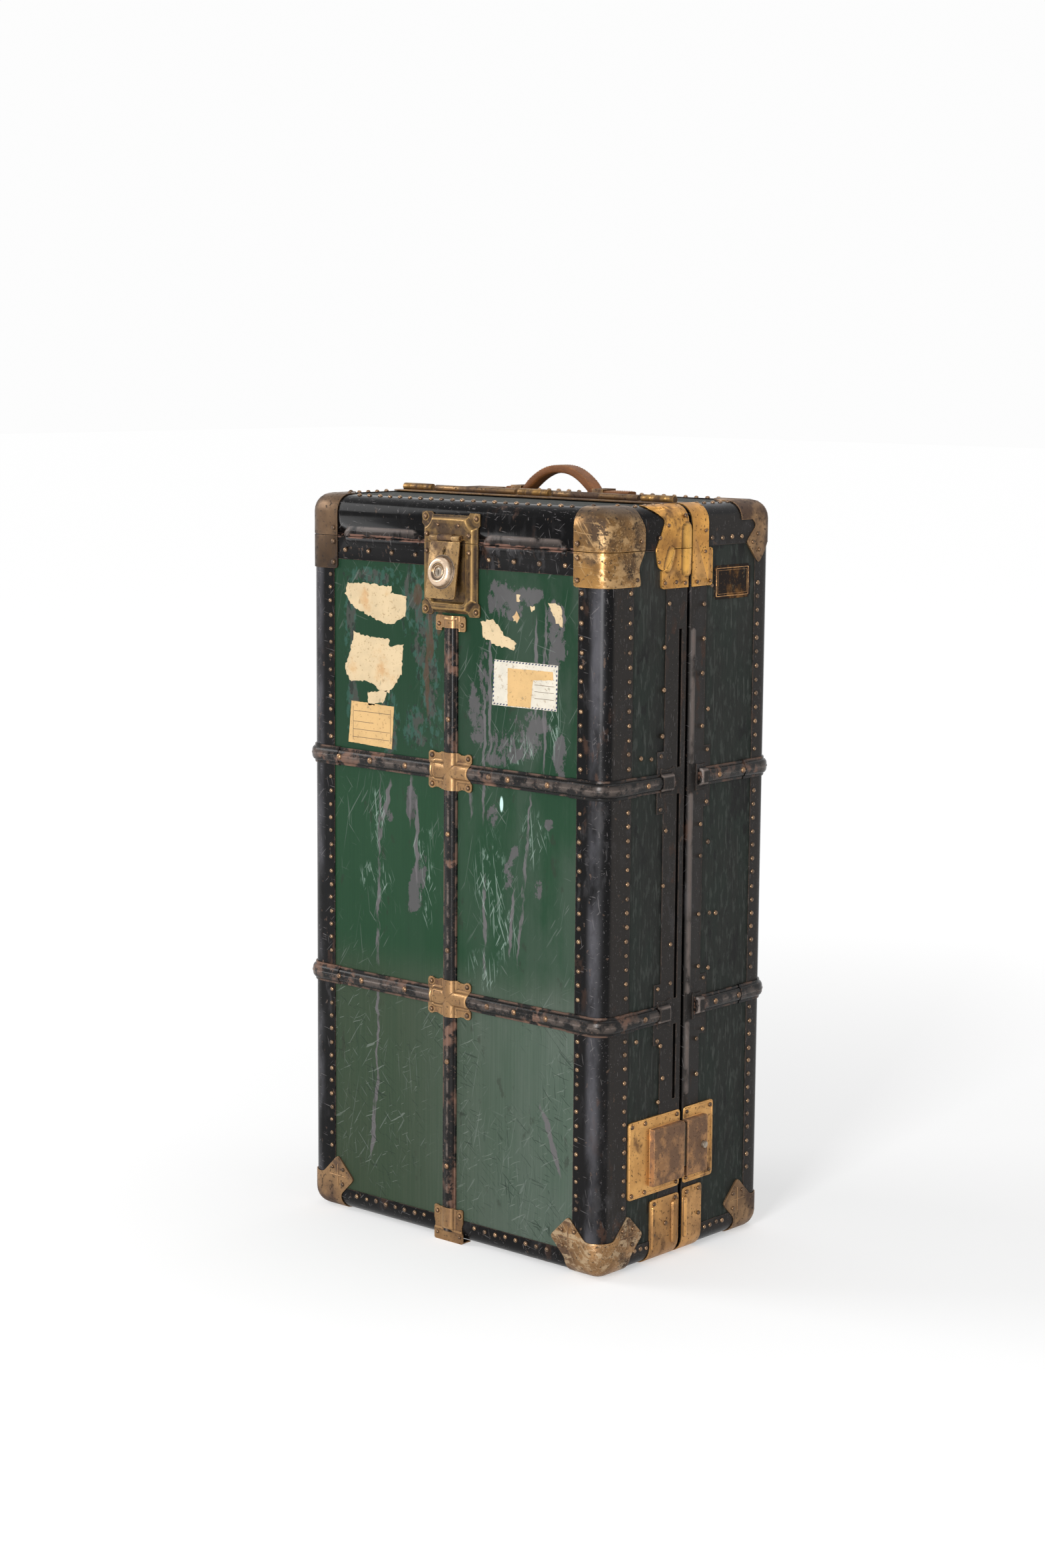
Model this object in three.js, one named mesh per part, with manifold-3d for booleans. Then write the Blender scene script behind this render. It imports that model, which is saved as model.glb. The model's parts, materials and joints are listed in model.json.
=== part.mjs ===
// A steamer wardrobe trunk that stands on end: a rear shell with drawers, a front shell with hangers
// hinged to it at the left, and a lift top over the front shell.
import * as THREE from "three";
import { RoundedBoxGeometry } from "three/addons/geometries/RoundedBoxGeometry.js";
import { mergeVertices } from "three/addons/utils/BufferGeometryUtils.js";
import Module from "manifold-3d";

const wasm = await Module();
wasm.setup();

// Millimetres. x runs across the front, y from the front face to the back, z up from the case's bottom.

// The case: its size over the steel bindings, and where the seam and the lift top divide it
const caseWidth = 552;
const caseDepth = 357;
const caseHeight = 1035;
const frontDepth = 166;
const seamGap = 8;
const lidHeight = 56;
const splitGap = 1;
const edgeRadius = 24;
const wallThickness = 7;
const fitGap = 0.3;

// Steel bindings: sheet thickness, and how far each one reaches from its edge
const bindingThickness = 1.2;
const bindingFace = 50;
const bindingSide = 53;
const bindingRear = 41;
const bindingBottom = 33;
const bindingTopStrip = 32;
const bindingLidTop = 28;
const seamStripFront = 44;
const seamStripRear = 34;
const earReach = 14;
const earHeight = 84;
const embossCapGap = 12;
const embossHeight = 30;
const embossProud = 4;
const embossStart = 58;

// The dust lip round the rear shell's mouth
const lipGap = 1.2;
const lipThickness = 3;
const lipReach = 7;
const lipRoot = 10;

// Grooves in the front seam strip and beads on the rear one
const grooveWidth = 7;
const grooveInset = 9;
const grooveDepth = 3;
const beadWidth = 10;
const beadProud = 4.5;
const beadLowest = 225;
const beadBandGap = 18;
const beadTopDrop = 107;

// Half-round bands
const bandHeight = 25;
const bandProud = 6.5;
const bandLowerHeight = 348;
const bandUpperDrop = 369;
const bandSeamMarginFront = 26;
const bandSeamMarginRear = 20;
const centerBandWidth = 24;
const centerBandFoot = 14;
const centerBandGap = 12;

// Brass plates and clips lie on the bindings and stand this far out
const plateOut = 1.8;
const clipWidth = 80;
const clipHeight = 52;
const clipWrap = 1.6;
const footClipWidth = 54;
const footClipHeight = 48;
const lockClipWidth = 55;
const lockClipHeight = 21;

// Corner caps: the lobes of their outlines, measured from the case's edges
const capBase = 62;
const capNeck = 26;
const capSaddle = 50;
const lobeTopAcross = 56;
const lobeTopUp = 80;
const lobeTipAcross = 88;
const lobeTipUp = 48;
const lobeWaist = 22;
const capCorner = 5;
const archStart = 74;
const archNeckAcross = 41;
const archNeckDown = 32;
const archTipAcross = 63;
const archTipDown = 54;
const archFootAcross = 35;
const archFootDown = 85;
const archFoot = 57;
const frontCapFace = 58;
const frontCapSide = 66;
const lidCapSide = 74;
const frontCapDrop = 46;

// Hinges of the lift top and of the left seam
const knuckleRadius = 5.5;
const pinRadius = 2.5;
const hingeClearance = 0.4;
const leafThickness = 1.8;
const topLeafWidth = 23;
const sideLeafWidth = 20;
const barrelLength = 55;
const middleKnuckle = 26;
const ribRadius = 4.4;
const ribMargin = 7;
const topLeafMargin = 26;
const topBarrelInset = 28;
const sideLeafLow = 55;
const sideLeafDrop = 100;
const sideBarrelInset = 70;

// The lock: upper plate on the lift top, lower plate on the front shell, hasp and key cylinder
const lockWidth = 106;
const lockPanelWidth = 92;
const lockPanelProud = 8;
const lockShoulder = 5;
const lockUpperHeight = 41;
const lockLowerHeight = 98;
const lockMargin = 9;
const recessWidth = 62;
const recessFloor = 3;
const haspWidth = 54;
const haspLength = 82;
const haspThickness = 2;
const haspAxisHeight = 6.5;
const haspAxisOut = 12;
const haspKnuckle = 4.5;
const haspPin = 2;
const haspMiddle = 26;
const haspCaseWidth = 44;
const haspCaseLow = 72;
const haspCaseHigh = 28;
const haspCaseDepth = 6;
const domeRadius = 20;
const domeHeight = 9;
const domeDrop = 47;
const cylinderRadius = 6.8;
const cylinderLength = 9;
const keySlotWidth = 1.8;
const keySlotHeight = 7;
const keySlotDepth = 3;
const haspSlotDrop = 19;
const haspSlotHeight = 9;
const haspSlotWidth = 3;
const haspRestAngle = 8;

// Brass plates on the right side: each share is of the room from the lid cap to the seam, and each drop
// or rise is from the split
const topPlateShare = 0.38;
const topPlateDrop = 52;
const lobeShare = 0.24;
const lobeDrop = 28;
const lobeLowShare = 0.413;
const lobeRise = 17;
const lobeNeckShare = 0.467;
const lobeNeckRise = 38;
const plateWrapShare = 0.185;
const partingShare = 0.598;
const partingGap = 0.8;
const rearPlateReach = 35;
const flangeReach = 45;
const flangeOut = 1.2;
const flangeDrop = 1;
const plateWrap = 25;
const ridgeDrop = 41;
const ridgeRise = 36;
const ridgeReach = 5.5;
const ridgeWidth = 26;
const ridgeProud = 7;
const lensShare = 0.543;
const lensDrop = 13;
const lensLength = 40;
const lensWidth = 20;
const lensProud = 4.5;
const lensTilt = 22;

// The bottom catch
const catchLow = 100;
const catchHigh = 208;
const catchFrontReach = 111;
const catchRearReach = 66;
const housingLow = 112;
const housingHigh = 192;
const housingFrontReach = 66;
const housingRearReach = 43;
const housingProud = 11;
const housingSlope = 2;
const tongueThickness = 2.4;
const tongueLow = 126;
const tongueHigh = 187;
const tongueOut = 4.4;
const tongueRootReach = 54;
const tongueReach = 15;
const tongueHoleLow = 147;
const tongueHoleHigh = 167;
const tongueHoleStart = 3;
const tongueHoleLength = 7;
const tongueEntry = 0.9;
const buttonRadius = 5;
const buttonAcross = 34;
const buttonHigh = 151;
const buttonProud = 4;
const buttonTravel = 4;
const buttonLength = 8;

// Brass feet at the bottom of the seam
const footFrontShare = 0.795;
const footFrontHeight = 90;
const footRearShare = 0.45;
const footRearHeight = 93;
const footBeadLow = 22;
const footBeadHigh = 82;

// The leather handle on the rear shell's top
const handleShare = 0.4;
const strapWidth = 26;
const strapThickness = 9;
const strapLeft = -115;
const strapRight = 112;
const archLeft = -76;
const archRight = 46;
const archPeak = -12;
const archRise = 33;
const archBendShare = 1 / 4;
const keeperLength = 19;
const keeperSheet = 1.6;
const keeperFoot = 11;
const keeperLeft = -91;
const keeperRight = 61;
const keeperGap = 0.4;

// Drawers and their rack
const rackBoard = 6;
const shelfThickness = 5;
const rackBase = 9;
const rackBack = 17;
const rackSetback = 11;
const drawerClear = 1;
const drawerWall = 6;
const drawerFront = 9;
const drawerFloor = 4;
const drawerShares = [0.29, 0.255, 0.236, 0.219];
const hatSpace = 263;
const pullWidth = 44;
const pullHeight = 26;
const pullReach = 10;
const pullThickness = 5;
const pullSpread = 140;

// Hanger gear in the front shell
const railWeb = 2;
const railFlange = 11;
const railDrop = 110;
const railStart = 14;
const railBack = 14;
const armWidth = 8;
const armHeight = 9;
const armGap = 0.4;
const armStart = 16;
const armBack = 10;
const crossBar = 6;
const rodRadius = 4.5;
const wireRadius = 1.8;
const hangerCount = 3;
const hangerFirst = 46;
const hangerSpacing = 38;
const hangerThickness = 12;
const hangerHalf = 196;
const hangerDrop = 28;
const hangerWaist = 24;
const hangerNeckShare = 1 / 8;
const shoulderDrop = 62;
const shoulderThickness = 20;

// The cushion under the lift top
const cushionMargin = 30;
const cushionFront = 16;
const cushionBack = 18;
const cushionLow = 5;
const cushionRadius = 16;

// How finely round shapes are divided
const edgeSteps = 3;
const roundSides = 12;
const bandSides = 6;
const domeSides = 24;
const cornerSteps = 2;
const cushionSteps = 3;
const cornerShare = 1 / 3;

const halfWidth = caseWidth / 2;
const rearFace = frontDepth + seamGap;
const lidBottom = caseHeight - lidHeight;
const frontTop = lidBottom - splitGap;
const panelIn = bindingThickness + fitGap;
const innerIn = panelIn + wallThickness;
const far = caseHeight + caseDepth;
const seamMiddle = frontDepth + seamGap / 2;

// Places that follow the case: the upper band, the beads, the centre band, the hinges and the plates
const bandUpperHeight = caseHeight - bandUpperDrop;
const beadRows = [
  { low: beadLowest, high: bandLowerHeight - beadBandGap },
  { low: bandLowerHeight + beadBandGap, high: bandUpperHeight - beadBandGap },
  { low: bandUpperHeight + beadBandGap, high: frontTop - beadTopDrop },
];
const embossLength = halfWidth - frontCapFace - embossCapGap - embossStart;
const centerBandTop = frontTop - lockLowerHeight - centerBandGap;
const lockClipLow = frontTop - lockLowerHeight - lockClipHeight;
const topLeafLength = caseWidth - 2 * topLeafMargin;
const topBarrelSpacing = topLeafLength / 2 - topBarrelInset;
const sideLeafLength = caseHeight - sideLeafLow - sideLeafDrop;
const sideLeafMiddle = sideLeafLow + sideLeafLength / 2;
const sideBarrelSpacing = sideLeafLength / 2 - sideBarrelInset;
const topPlateFoot = frontTop - topPlateDrop;
const plateRoom = frontDepth - lidCapSide;
const topPlateFrontStart = lidCapSide + plateRoom * topPlateShare;
const lobeStart = lidCapSide + plateRoom * lobeShare;
const lobeLow = frontTop - lobeDrop;
const lobeLowAcross = lidCapSide + plateRoom * lobeLowShare;
const lobeHigh = lidBottom + lobeRise;
const lobeNeckAcross = lidCapSide + plateRoom * lobeNeckShare;
const lobeNeckHigh = lidBottom + lobeNeckRise;
const plateWrapStart = lidCapSide + plateRoom * plateWrapShare;
const partingAcross = lidCapSide + plateRoom * partingShare;
const flangeTop = frontTop - flangeDrop;
const ridgeLow = lidBottom - ridgeDrop;
const ridgeHigh = lidBottom + ridgeRise;
const lensAcross = lidCapSide + plateRoom * lensShare;
const lensHigh = frontTop - lensDrop;
const catchFrontStart = frontDepth - catchFrontReach;
const housingFrontStart = frontDepth - housingFrontReach;
const tongueRoot = frontDepth - tongueRootReach;
const footFrontStart = frontDepth - (frontDepth - lobeTipAcross) * footFrontShare;
const footRearReach = (caseDepth - rearFace - lobeTipAcross) * footRearShare;
const railBottom = frontTop - railDrop;
const railLength = frontDepth - railStart - railBack;
const armEnd = frontDepth - armBack;

// A closed geometry as a solid for cutting and joining.
function solid(geometry) {
  const bare = geometry.index ? geometry.toNonIndexed() : geometry.clone();
  bare.deleteAttribute("normal");
  bare.deleteAttribute("uv");
  const merged = mergeVertices(bare);
  return new wasm.Manifold(
    new wasm.Mesh({
      numProp: 3,
      vertProperties: merged.attributes.position.array,
      triVerts: new Uint32Array(merged.index.array),
    }),
  );
}

// A solid as a drawable geometry.
function geometryOf(shape) {
  const mesh = shape.getMesh();
  const geometry = new THREE.BufferGeometry();
  geometry.setAttribute("position", new THREE.BufferAttribute(mesh.vertProperties, mesh.numProp));
  geometry.setIndex(new THREE.BufferAttribute(mesh.triVerts, 1));
  geometry.computeVertexNormals();
  return geometry;
}

function union(shapes) {
  return shapes.reduce((sum, shape) => sum.add(shape));
}

// A box between two corners.
function block(x0, x1, y0, y1, z0, z1) {
  const box = new THREE.BoxGeometry(1, 1, 1);
  const corners = box.attributes.position;
  for (let i = 0; i < corners.count; i++) {
    const x = corners.getX(i) < 0 ? x0 : x1;
    const y = corners.getY(i) < 0 ? y0 : y1;
    const z = corners.getZ(i) < 0 ? z0 : z1;
    corners.setXYZ(i, x, y, z);
  }
  return solid(box);
}

// The trunk's rounded outer form, moved outwards by a distance.
function hull(out) {
  const form = new RoundedBoxGeometry(
    caseWidth + 2 * out,
    caseDepth + 2 * out,
    caseHeight + 2 * out,
    edgeSteps,
    edgeRadius + out,
  );
  return solid(form.translate(0, caseDepth / 2, caseHeight / 2));
}

// A closed outline whose corners are rounded off.
function roundedShape(points, radius) {
  const shape = new THREE.Shape();
  const count = points.length;
  for (let i = 0; i < count; i++) {
    const corner = new THREE.Vector2(...points[i]);
    const before = new THREE.Vector2(...points[(i + count - 1) % count]);
    const after = new THREE.Vector2(...points[(i + 1) % count]);
    const cutIn = Math.min(radius, corner.distanceTo(before) * cornerShare);
    const cutOut = Math.min(radius, corner.distanceTo(after) * cornerShare);
    const start = before.sub(corner).setLength(cutIn).add(corner);
    const end = after.sub(corner).setLength(cutOut).add(corner);
    if (i === 0) shape.moveTo(start.x, start.y);
    else shape.lineTo(start.x, start.y);
    shape.quadraticCurveTo(corner.x, corner.y, end.x, end.y);
  }
  shape.closePath();
  return shape;
}

function polygon(points) {
  return new THREE.Shape(points.map(([a, b]) => new THREE.Vector2(a, b)));
}

// A shape drawn in two directions and pushed along the third one from a point.
function push(shape, first, second, depth, origin, curveSegments = cornerSteps) {
  const geometry = new THREE.ExtrudeGeometry(shape, { depth, bevelEnabled: false, curveSegments });
  const third = new THREE.Vector3().crossVectors(first, second);
  const place = new THREE.Matrix4().makeBasis(first, second, third).setPosition(origin);
  return solid(geometry.applyMatrix4(place));
}

const acrossX = new THREE.Vector3(1, 0, 0);
const alongY = new THREE.Vector3(0, 1, 0);
const upZ = new THREE.Vector3(0, 0, 1);

// Prisms: an outline on the front (x, z), on a side (y, z) or on the top (x, y).
function frontPrism(shape, y0, y1, curveSegments) {
  return push(shape, acrossX, upZ, y1 - y0, new THREE.Vector3(0, y1, 0), curveSegments);
}

function sidePrism(shape, x0, x1, curveSegments) {
  return push(shape, alongY, upZ, x1 - x0, new THREE.Vector3(x0, 0, 0), curveSegments);
}

function topPrism(shape, z0, z1, curveSegments) {
  return push(shape, acrossX, alongY, z1 - z0, new THREE.Vector3(0, 0, z0), curveSegments);
}

// A cylinder along x, y or z that starts at a point.
function rod(direction, radius, length, origin, sides = roundSides) {
  const turn = new THREE.Quaternion().setFromUnitVectors(alongY, direction);
  const geometry = new THREE.CylinderGeometry(radius, radius, length, sides);
  geometry.translate(0, length / 2, 0).applyQuaternion(turn);
  return solid(geometry.translate(origin.x, origin.y, origin.z));
}

// A capsule-shaped bump along x or z, flattened across the face it stands on.
function bump(length, width, proud, direction, faceNormal, origin) {
  const radius = width / 2;
  const capsule = new THREE.CapsuleGeometry(radius, length - width, edgeSteps, roundSides);
  const across = new THREE.Vector3().crossVectors(direction, faceNormal);
  const place = new THREE.Matrix4().makeBasis(
    across,
    direction,
    faceNormal.clone().multiplyScalar(proud / radius),
  );
  return solid(capsule.applyMatrix4(place.setPosition(origin)));
}

// Regions that the steel bindings cover, each grown by a margin
function frontEdgeRegion(grow) {
  const stop = frontDepth - seamStripFront - fitGap + grow;
  const face = halfWidth - bindingFace - grow;
  const uprights = [-1, 1].map((side) =>
    side < 0
      ? block(-far, -face, -far, bindingSide + grow, -far, frontTop)
      : block(face, far, -far, bindingSide + grow, -far, frontTop),
  );
  const bottomEdge = bindingBottom + grow;
  const low = block(-far, far, -far, bottomEdge, -far, bottomEdge);
  const lowLeft = block(-far, -halfWidth + bottomEdge, -far, stop, -far, bottomEdge);
  const lowRight = block(halfWidth - bottomEdge, far, -far, stop, -far, bottomEdge);
  const high = block(-far, far, -far, bindingTopStrip, frontTop - bindingTopStrip - grow, frontTop);
  return union([...uprights, low, lowLeft, lowRight, high]);
}

function earRegion(y0, y1) {
  const ears = [bandLowerHeight, bandUpperHeight].map((middle) =>
    block(-far, far, y0, y1, middle - earHeight / 2, middle + earHeight / 2),
  );
  return union(ears);
}

function frontSeamRegion(grow) {
  const start = frontDepth - seamStripFront - grow;
  const strip = block(-far, far, start, frontDepth + grow, -far, frontTop - panelIn + grow);
  return strip.add(earRegion(start - earReach, frontDepth));
}

function rearSeamRegion(grow) {
  const end = rearFace + seamStripRear + grow;
  const strip = block(-far, far, rearFace - grow, end, -far, lidBottom - fitGap + grow);
  return strip.add(earRegion(rearFace, end + earReach));
}

function rearEdgeRegion(grow) {
  const start = rearFace + seamStripRear + fitGap - grow;
  const face = halfWidth - bindingFace - grow;
  const back = caseDepth - bindingRear - grow;
  const bottomEdge = bindingBottom + grow;
  const left = block(-far, -face, back, far, -far, lidBottom + fitGap);
  const right = block(face, far, back, far, -far, lidBottom + fitGap);
  const low = block(-far, far, caseDepth - bottomEdge, far, -far, bottomEdge);
  const lowLeft = block(-far, -halfWidth + bottomEdge, start, far, -far, bottomEdge);
  const lowRight = block(halfWidth - bottomEdge, far, start, far, -far, bottomEdge);
  const high = block(-far, far, rearFace + panelIn - grow, far, lidBottom - grow, far);
  const panel = block(
    -halfWidth + bindingLidTop + grow,
    halfWidth - bindingLidTop - grow,
    -far,
    caseDepth - bindingLidTop - grow,
    caseHeight - edgeRadius / 2,
    far,
  );
  return union([left, right, low, lowLeft, lowRight, high.subtract(panel)]);
}

function lidRegion(grow) {
  const panel = block(
    -halfWidth + bindingLidTop + grow,
    halfWidth - bindingLidTop - grow,
    bindingLidTop + grow,
    far,
    caseHeight - edgeRadius / 2,
    far,
  );
  return block(-far, far, -far, frontDepth, lidBottom, far).subtract(panel);
}

const panelSurface = hull(-bindingThickness);
const bindingSheet = hull(0).subtract(panelSurface);
const rimSheet = hull(0).subtract(hull(-innerIn));
const rearBindingRegion = rearEdgeRegion(fitGap).add(rearSeamRegion(fitGap));
const frontBindingRegion = frontEdgeRegion(fitGap).add(frontSeamRegion(fitGap));
const rimCover = bindingThickness + fitGap;
const seamRims = block(-far, far, frontDepth - rimCover, rearFace + rimCover, -far, far);
const splitRims = block(-far, far, -far, frontDepth, frontTop - rimCover, lidBottom + rimCover);
const bindingCover = hull(fitGap).intersect(
  union([frontBindingRegion, rearBindingRegion, lidRegion(fitGap), seamRims, splitRims]),
);

// What lies on the case rests on its fibre and on the bindings, a fit gap above both.
function seated(shape) {
  return shape.subtract(panelSurface).subtract(bindingCover);
}

// Outward bumps that are pressed into a binding.
function pressedOut(shape) {
  return shape.subtract(panelSurface);
}

const materials = {
  fibre: new THREE.MeshStandardMaterial({ color: 0x23402f, roughness: 0.7, metalness: 0 }),
  steel: new THREE.MeshStandardMaterial({ color: 0x1b1a1b, roughness: 0.45, metalness: 0.4 }),
  brass: new THREE.MeshStandardMaterial({ color: 0x9a7438, roughness: 0.45, metalness: 0.9 }),
  bronze: new THREE.MeshStandardMaterial({ color: 0x5c4630, roughness: 0.5, metalness: 0.8 }),
  nickel: new THREE.MeshStandardMaterial({ color: 0x9a958c, roughness: 0.4, metalness: 0.9 }),
  leather: new THREE.MeshStandardMaterial({ color: 0x8a4f26, roughness: 0.7, metalness: 0 }),
  wood: new THREE.MeshStandardMaterial({ color: 0x9b7248, roughness: 0.6, metalness: 0 }),
  lining: new THREE.MeshStandardMaterial({ color: 0x6b5a44, roughness: 0.9, metalness: 0 }),
};

const trunk = new THREE.Group();
const rearShell = new THREE.Group();
const frontShell = new THREE.Group();
const liftTop = new THREE.Group();
trunk.add(rearShell, frontShell, liftTop);

function piece(parent, name, shape, material) {
  const mesh = new THREE.Mesh(geometryOf(shape), material);
  mesh.name = name;
  parent.add(mesh);
  return mesh;
}

// Cases of the three shells
function grooves(grow) {
  const right = frontDepth - grooveInset + grow;
  const left = right - grooveWidth - 2 * grow;
  const deep = halfWidth - bindingThickness - grooveDepth;
  return union(beadRows.map((row) => block(deep, far, left, right, row.low - grow, row.high + grow)));
}

const interior = hull(-innerIn);
const panelForm = hull(-panelIn);

const frontCase = panelForm
  .intersect(block(-far, far, -far, frontDepth - panelIn, -far, frontTop - panelIn))
  .subtract(interior)
  .subtract(grooves(fitGap));
piece(frontShell, "front_case", frontCase, materials.fibre);

const lidCase = panelForm
  .intersect(block(-far, far, -far, frontDepth - panelIn, lidBottom + panelIn, far))
  .subtract(interior);
piece(liftTop, "lid_case", lidCase, materials.fibre);

function dustLip() {
  const outer = hull(-innerIn - lipGap);
  const inner = hull(-innerIn - lipGap - lipThickness);
  const start = frontDepth - lipReach;
  const root = rearFace + panelIn + fitGap;
  const ring = outer.intersect(block(-far, far, start, root + fitGap, -far, far));
  const rooted = hull(-panelIn - wallThickness / 2).intersect(
    block(-far, far, root, rearFace + lipRoot, -far, far),
  );
  return ring.add(rooted).subtract(inner);
}

const rearCase = panelForm
  .intersect(block(-far, far, rearFace + panelIn, far, -far, far))
  .subtract(interior)
  .add(dustLip());
piece(rearShell, "rear_case", rearCase, materials.fibre);

// Bindings
function embossed(side) {
  const middle = side * (embossStart + embossLength / 2);
  const origin = new THREE.Vector3(middle, 0, frontTop + splitGap / 2);
  return pressedOut(bump(embossLength, embossHeight, embossProud, acrossX, alongY, origin));
}

const embossing = union([embossed(-1), embossed(1)]);
const belowSplit = block(-far, far, -far, frontDepth, -far, frontTop);
const aboveSplit = block(-far, far, -far, frontDepth, lidBottom, far);

const frontRim = rimSheet.intersect(
  block(-far, far, -far, frontDepth, frontTop - bindingThickness, frontTop),
);
const frontEdgeBinding = bindingSheet
  .intersect(frontEdgeRegion(0))
  .add(frontRim)
  .add(embossing.intersect(belowSplit));
piece(frontShell, "front_edge_binding", frontEdgeBinding, materials.steel);

const frontFlange = rimSheet.intersect(
  block(-far, far, frontDepth - bindingThickness, frontDepth, -far, frontTop - panelIn),
);
const frontSeamBinding = bindingSheet
  .intersect(frontSeamRegion(0))
  .intersect(block(-far, far, -far, frontDepth, -far, frontTop - panelIn))
  .add(frontFlange)
  .subtract(grooves(0));
piece(frontShell, "front_seam_binding", frontSeamBinding, materials.steel);

const lidFlanges = rimSheet.intersect(
  union([
    block(-far, far, frontDepth - bindingThickness, frontDepth, lidBottom, far),
    block(-far, far, -far, frontDepth, lidBottom, lidBottom + bindingThickness),
  ]),
);
const lidBinding = bindingSheet
  .intersect(lidRegion(0))
  .add(lidFlanges)
  .add(embossing.intersect(aboveSplit));
piece(liftTop, "lid_binding", lidBinding, materials.steel);

function bead(low, high, width, proud, middle) {
  const origin = new THREE.Vector3(halfWidth, middle, (low + high) / 2);
  return bump(high - low, width, proud, upZ, acrossX, origin);
}

const seamBeads = union(
  beadRows.map((row) => bead(row.low, row.high, beadWidth, beadProud, rearFace + beadWidth / 2)),
);
const rearFlange = rimSheet.intersect(
  block(-far, far, rearFace, rearFace + bindingThickness, -far, far),
);
const rearSeamBinding = bindingSheet
  .intersect(rearSeamRegion(0))
  .intersect(block(-far, far, rearFace, far, -far, lidBottom - fitGap))
  .add(rearFlange)
  .add(pressedOut(seamBeads));
piece(rearShell, "rear_seam_binding", rearSeamBinding, materials.steel);

const rearEdgeBinding = bindingSheet.intersect(rearEdgeRegion(0));
piece(rearShell, "rear_edge_binding", rearEdgeBinding, materials.steel);

// Half-round bands: the profile stands on a deep base that is cut to the surface below it.
function halfRound(height, proud) {
  const points = [[-edgeRadius / 2, -height / 2]];
  for (let i = 0; i <= bandSides; i++) {
    const angle = -Math.PI / 2 + (Math.PI * i) / bandSides;
    points.push([proud * Math.cos(angle), (height / 2) * Math.sin(angle)]);
  }
  points.push([-edgeRadius / 2, height / 2]);
  return points;
}

function belt(middle, height, proud) {
  const profile = halfRound(height, proud);
  const parts = [];
  const corner = halfWidth - edgeRadius;
  for (const side of [-1, 1]) {
    const outX = new THREE.Vector3(side, 0, 0);
    const outY = new THREE.Vector3(0, side, 0);
    const faceY = side < 0 ? 0 : caseDepth;
    const startY = side < 0 ? caseDepth - edgeRadius : edgeRadius;
    const depthRun = caseDepth - 2 * edgeRadius;
    const acrossRun = caseWidth - 2 * edgeRadius;
    const sideStart = new THREE.Vector3(side * halfWidth, side < 0 ? edgeRadius : startY + depthRun, middle);
    const faceStart = new THREE.Vector3(side < 0 ? corner : -corner, faceY, middle);
    parts.push(push(polygon(profile), outX, upZ, depthRun, sideStart));
    parts.push(push(polygon(profile), outY, upZ, acrossRun, faceStart));
    for (const end of [-1, 1]) {
      const centre = new THREE.Vector3(side * corner, end < 0 ? edgeRadius : caseDepth - edgeRadius, middle);
      const turned = new THREE.LatheGeometry(
        [...profile, profile[0]].map(([out, up]) => new THREE.Vector2(edgeRadius + out, up)),
        domeSides,
      );
      turned.rotateX(Math.PI / 2).translate(centre.x, centre.y, centre.z);
      const quarter = block(
        side < 0 ? -far : centre.x - fitGap,
        side < 0 ? centre.x + fitGap : far,
        end < 0 ? -far : centre.y - fitGap,
        end < 0 ? centre.y + fitGap : far,
        middle - height,
        middle + height,
      );
      parts.push(solid(turned).intersect(quarter));
    }
  }
  return union(parts);
}

const beltHeights = { lower: bandLowerHeight, upper: bandUpperHeight };
const frontZone = block(-far, far, -far, frontDepth - bandSeamMarginFront, 0, far);
const rearZone = block(-far, far, rearFace + bandSeamMarginRear, far, 0, far);
for (const [level, middle] of Object.entries(beltHeights)) {
  const whole = seated(belt(middle, bandHeight, bandProud));
  piece(frontShell, "front_band_" + level, whole.intersect(frontZone), materials.steel);
  piece(rearShell, "rear_band_" + level, whole.intersect(rearZone), materials.steel);
}

// The upright band on the front, in three lengths between the cross bands
function uprightRun(width, proud, low, high) {
  const outFront = new THREE.Vector3(0, -1, 0);
  const origin = new THREE.Vector3(0, 0, low);
  return push(polygon(halfRound(width, proud)), outFront, acrossX, high - low, origin);
}

const bandEdge = bandHeight / 2 + fitGap;
const uprights = {
  center_band_top: [bandUpperHeight + bandEdge, centerBandTop],
  center_band_middle: [bandLowerHeight + bandEdge, bandUpperHeight - bandEdge],
  center_band_bottom: [centerBandFoot, bandLowerHeight - bandEdge],
};
for (const [name, [low, high]] of Object.entries(uprights)) {
  piece(frontShell, name, seated(uprightRun(centerBandWidth, bandProud, low, high)), materials.steel);
}

// Clips over the bands: a flat sheet with a hump that clears the band below it.
function sheetOn(out, region) {
  return hull(out).intersect(region);
}

const upperRoom = uprightRun(
  centerBandWidth + 2 * fitGap,
  bandProud + fitGap,
  centerBandFoot - fitGap,
  centerBandTop + fitGap,
);

function crossClip(middle) {
  const wide = clipWidth / 2;
  const tall = clipHeight / 2;
  const sheet = sheetOn(plateOut, block(-wide, wide, -far, edgeRadius, middle - tall, middle + tall));
  const hump = uprightRun(
    centerBandWidth + 2 * clipWrap,
    bandProud + clipWrap,
    middle - tall,
    middle + tall,
  );
  const level = belt(middle, bandHeight + 2 * clipWrap, bandProud + clipWrap).intersect(
    block(-wide, wide, -far, edgeRadius, 0, far),
  );
  const room = belt(middle, bandHeight + 2 * fitGap, bandProud + fitGap).intersect(
    block(-far, far, -far, edgeRadius, 0, far),
  );
  return seated(union([sheet, hump, level])).subtract(room).subtract(upperRoom);
}

piece(frontShell, "cross_clip_upper", crossClip(bandUpperHeight), materials.brass);
piece(frontShell, "cross_clip_lower", crossClip(bandLowerHeight), materials.brass);

function clipSheet(width, low, high, humpLow, humpHigh) {
  const sheet = sheetOn(plateOut, block(-width / 2, width / 2, -far, edgeRadius, low, high));
  const hump = uprightRun(centerBandWidth + 2 * clipWrap, bandProud + clipWrap, humpLow, humpHigh);
  return seated(sheet.add(hump)).subtract(upperRoom);
}

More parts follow.
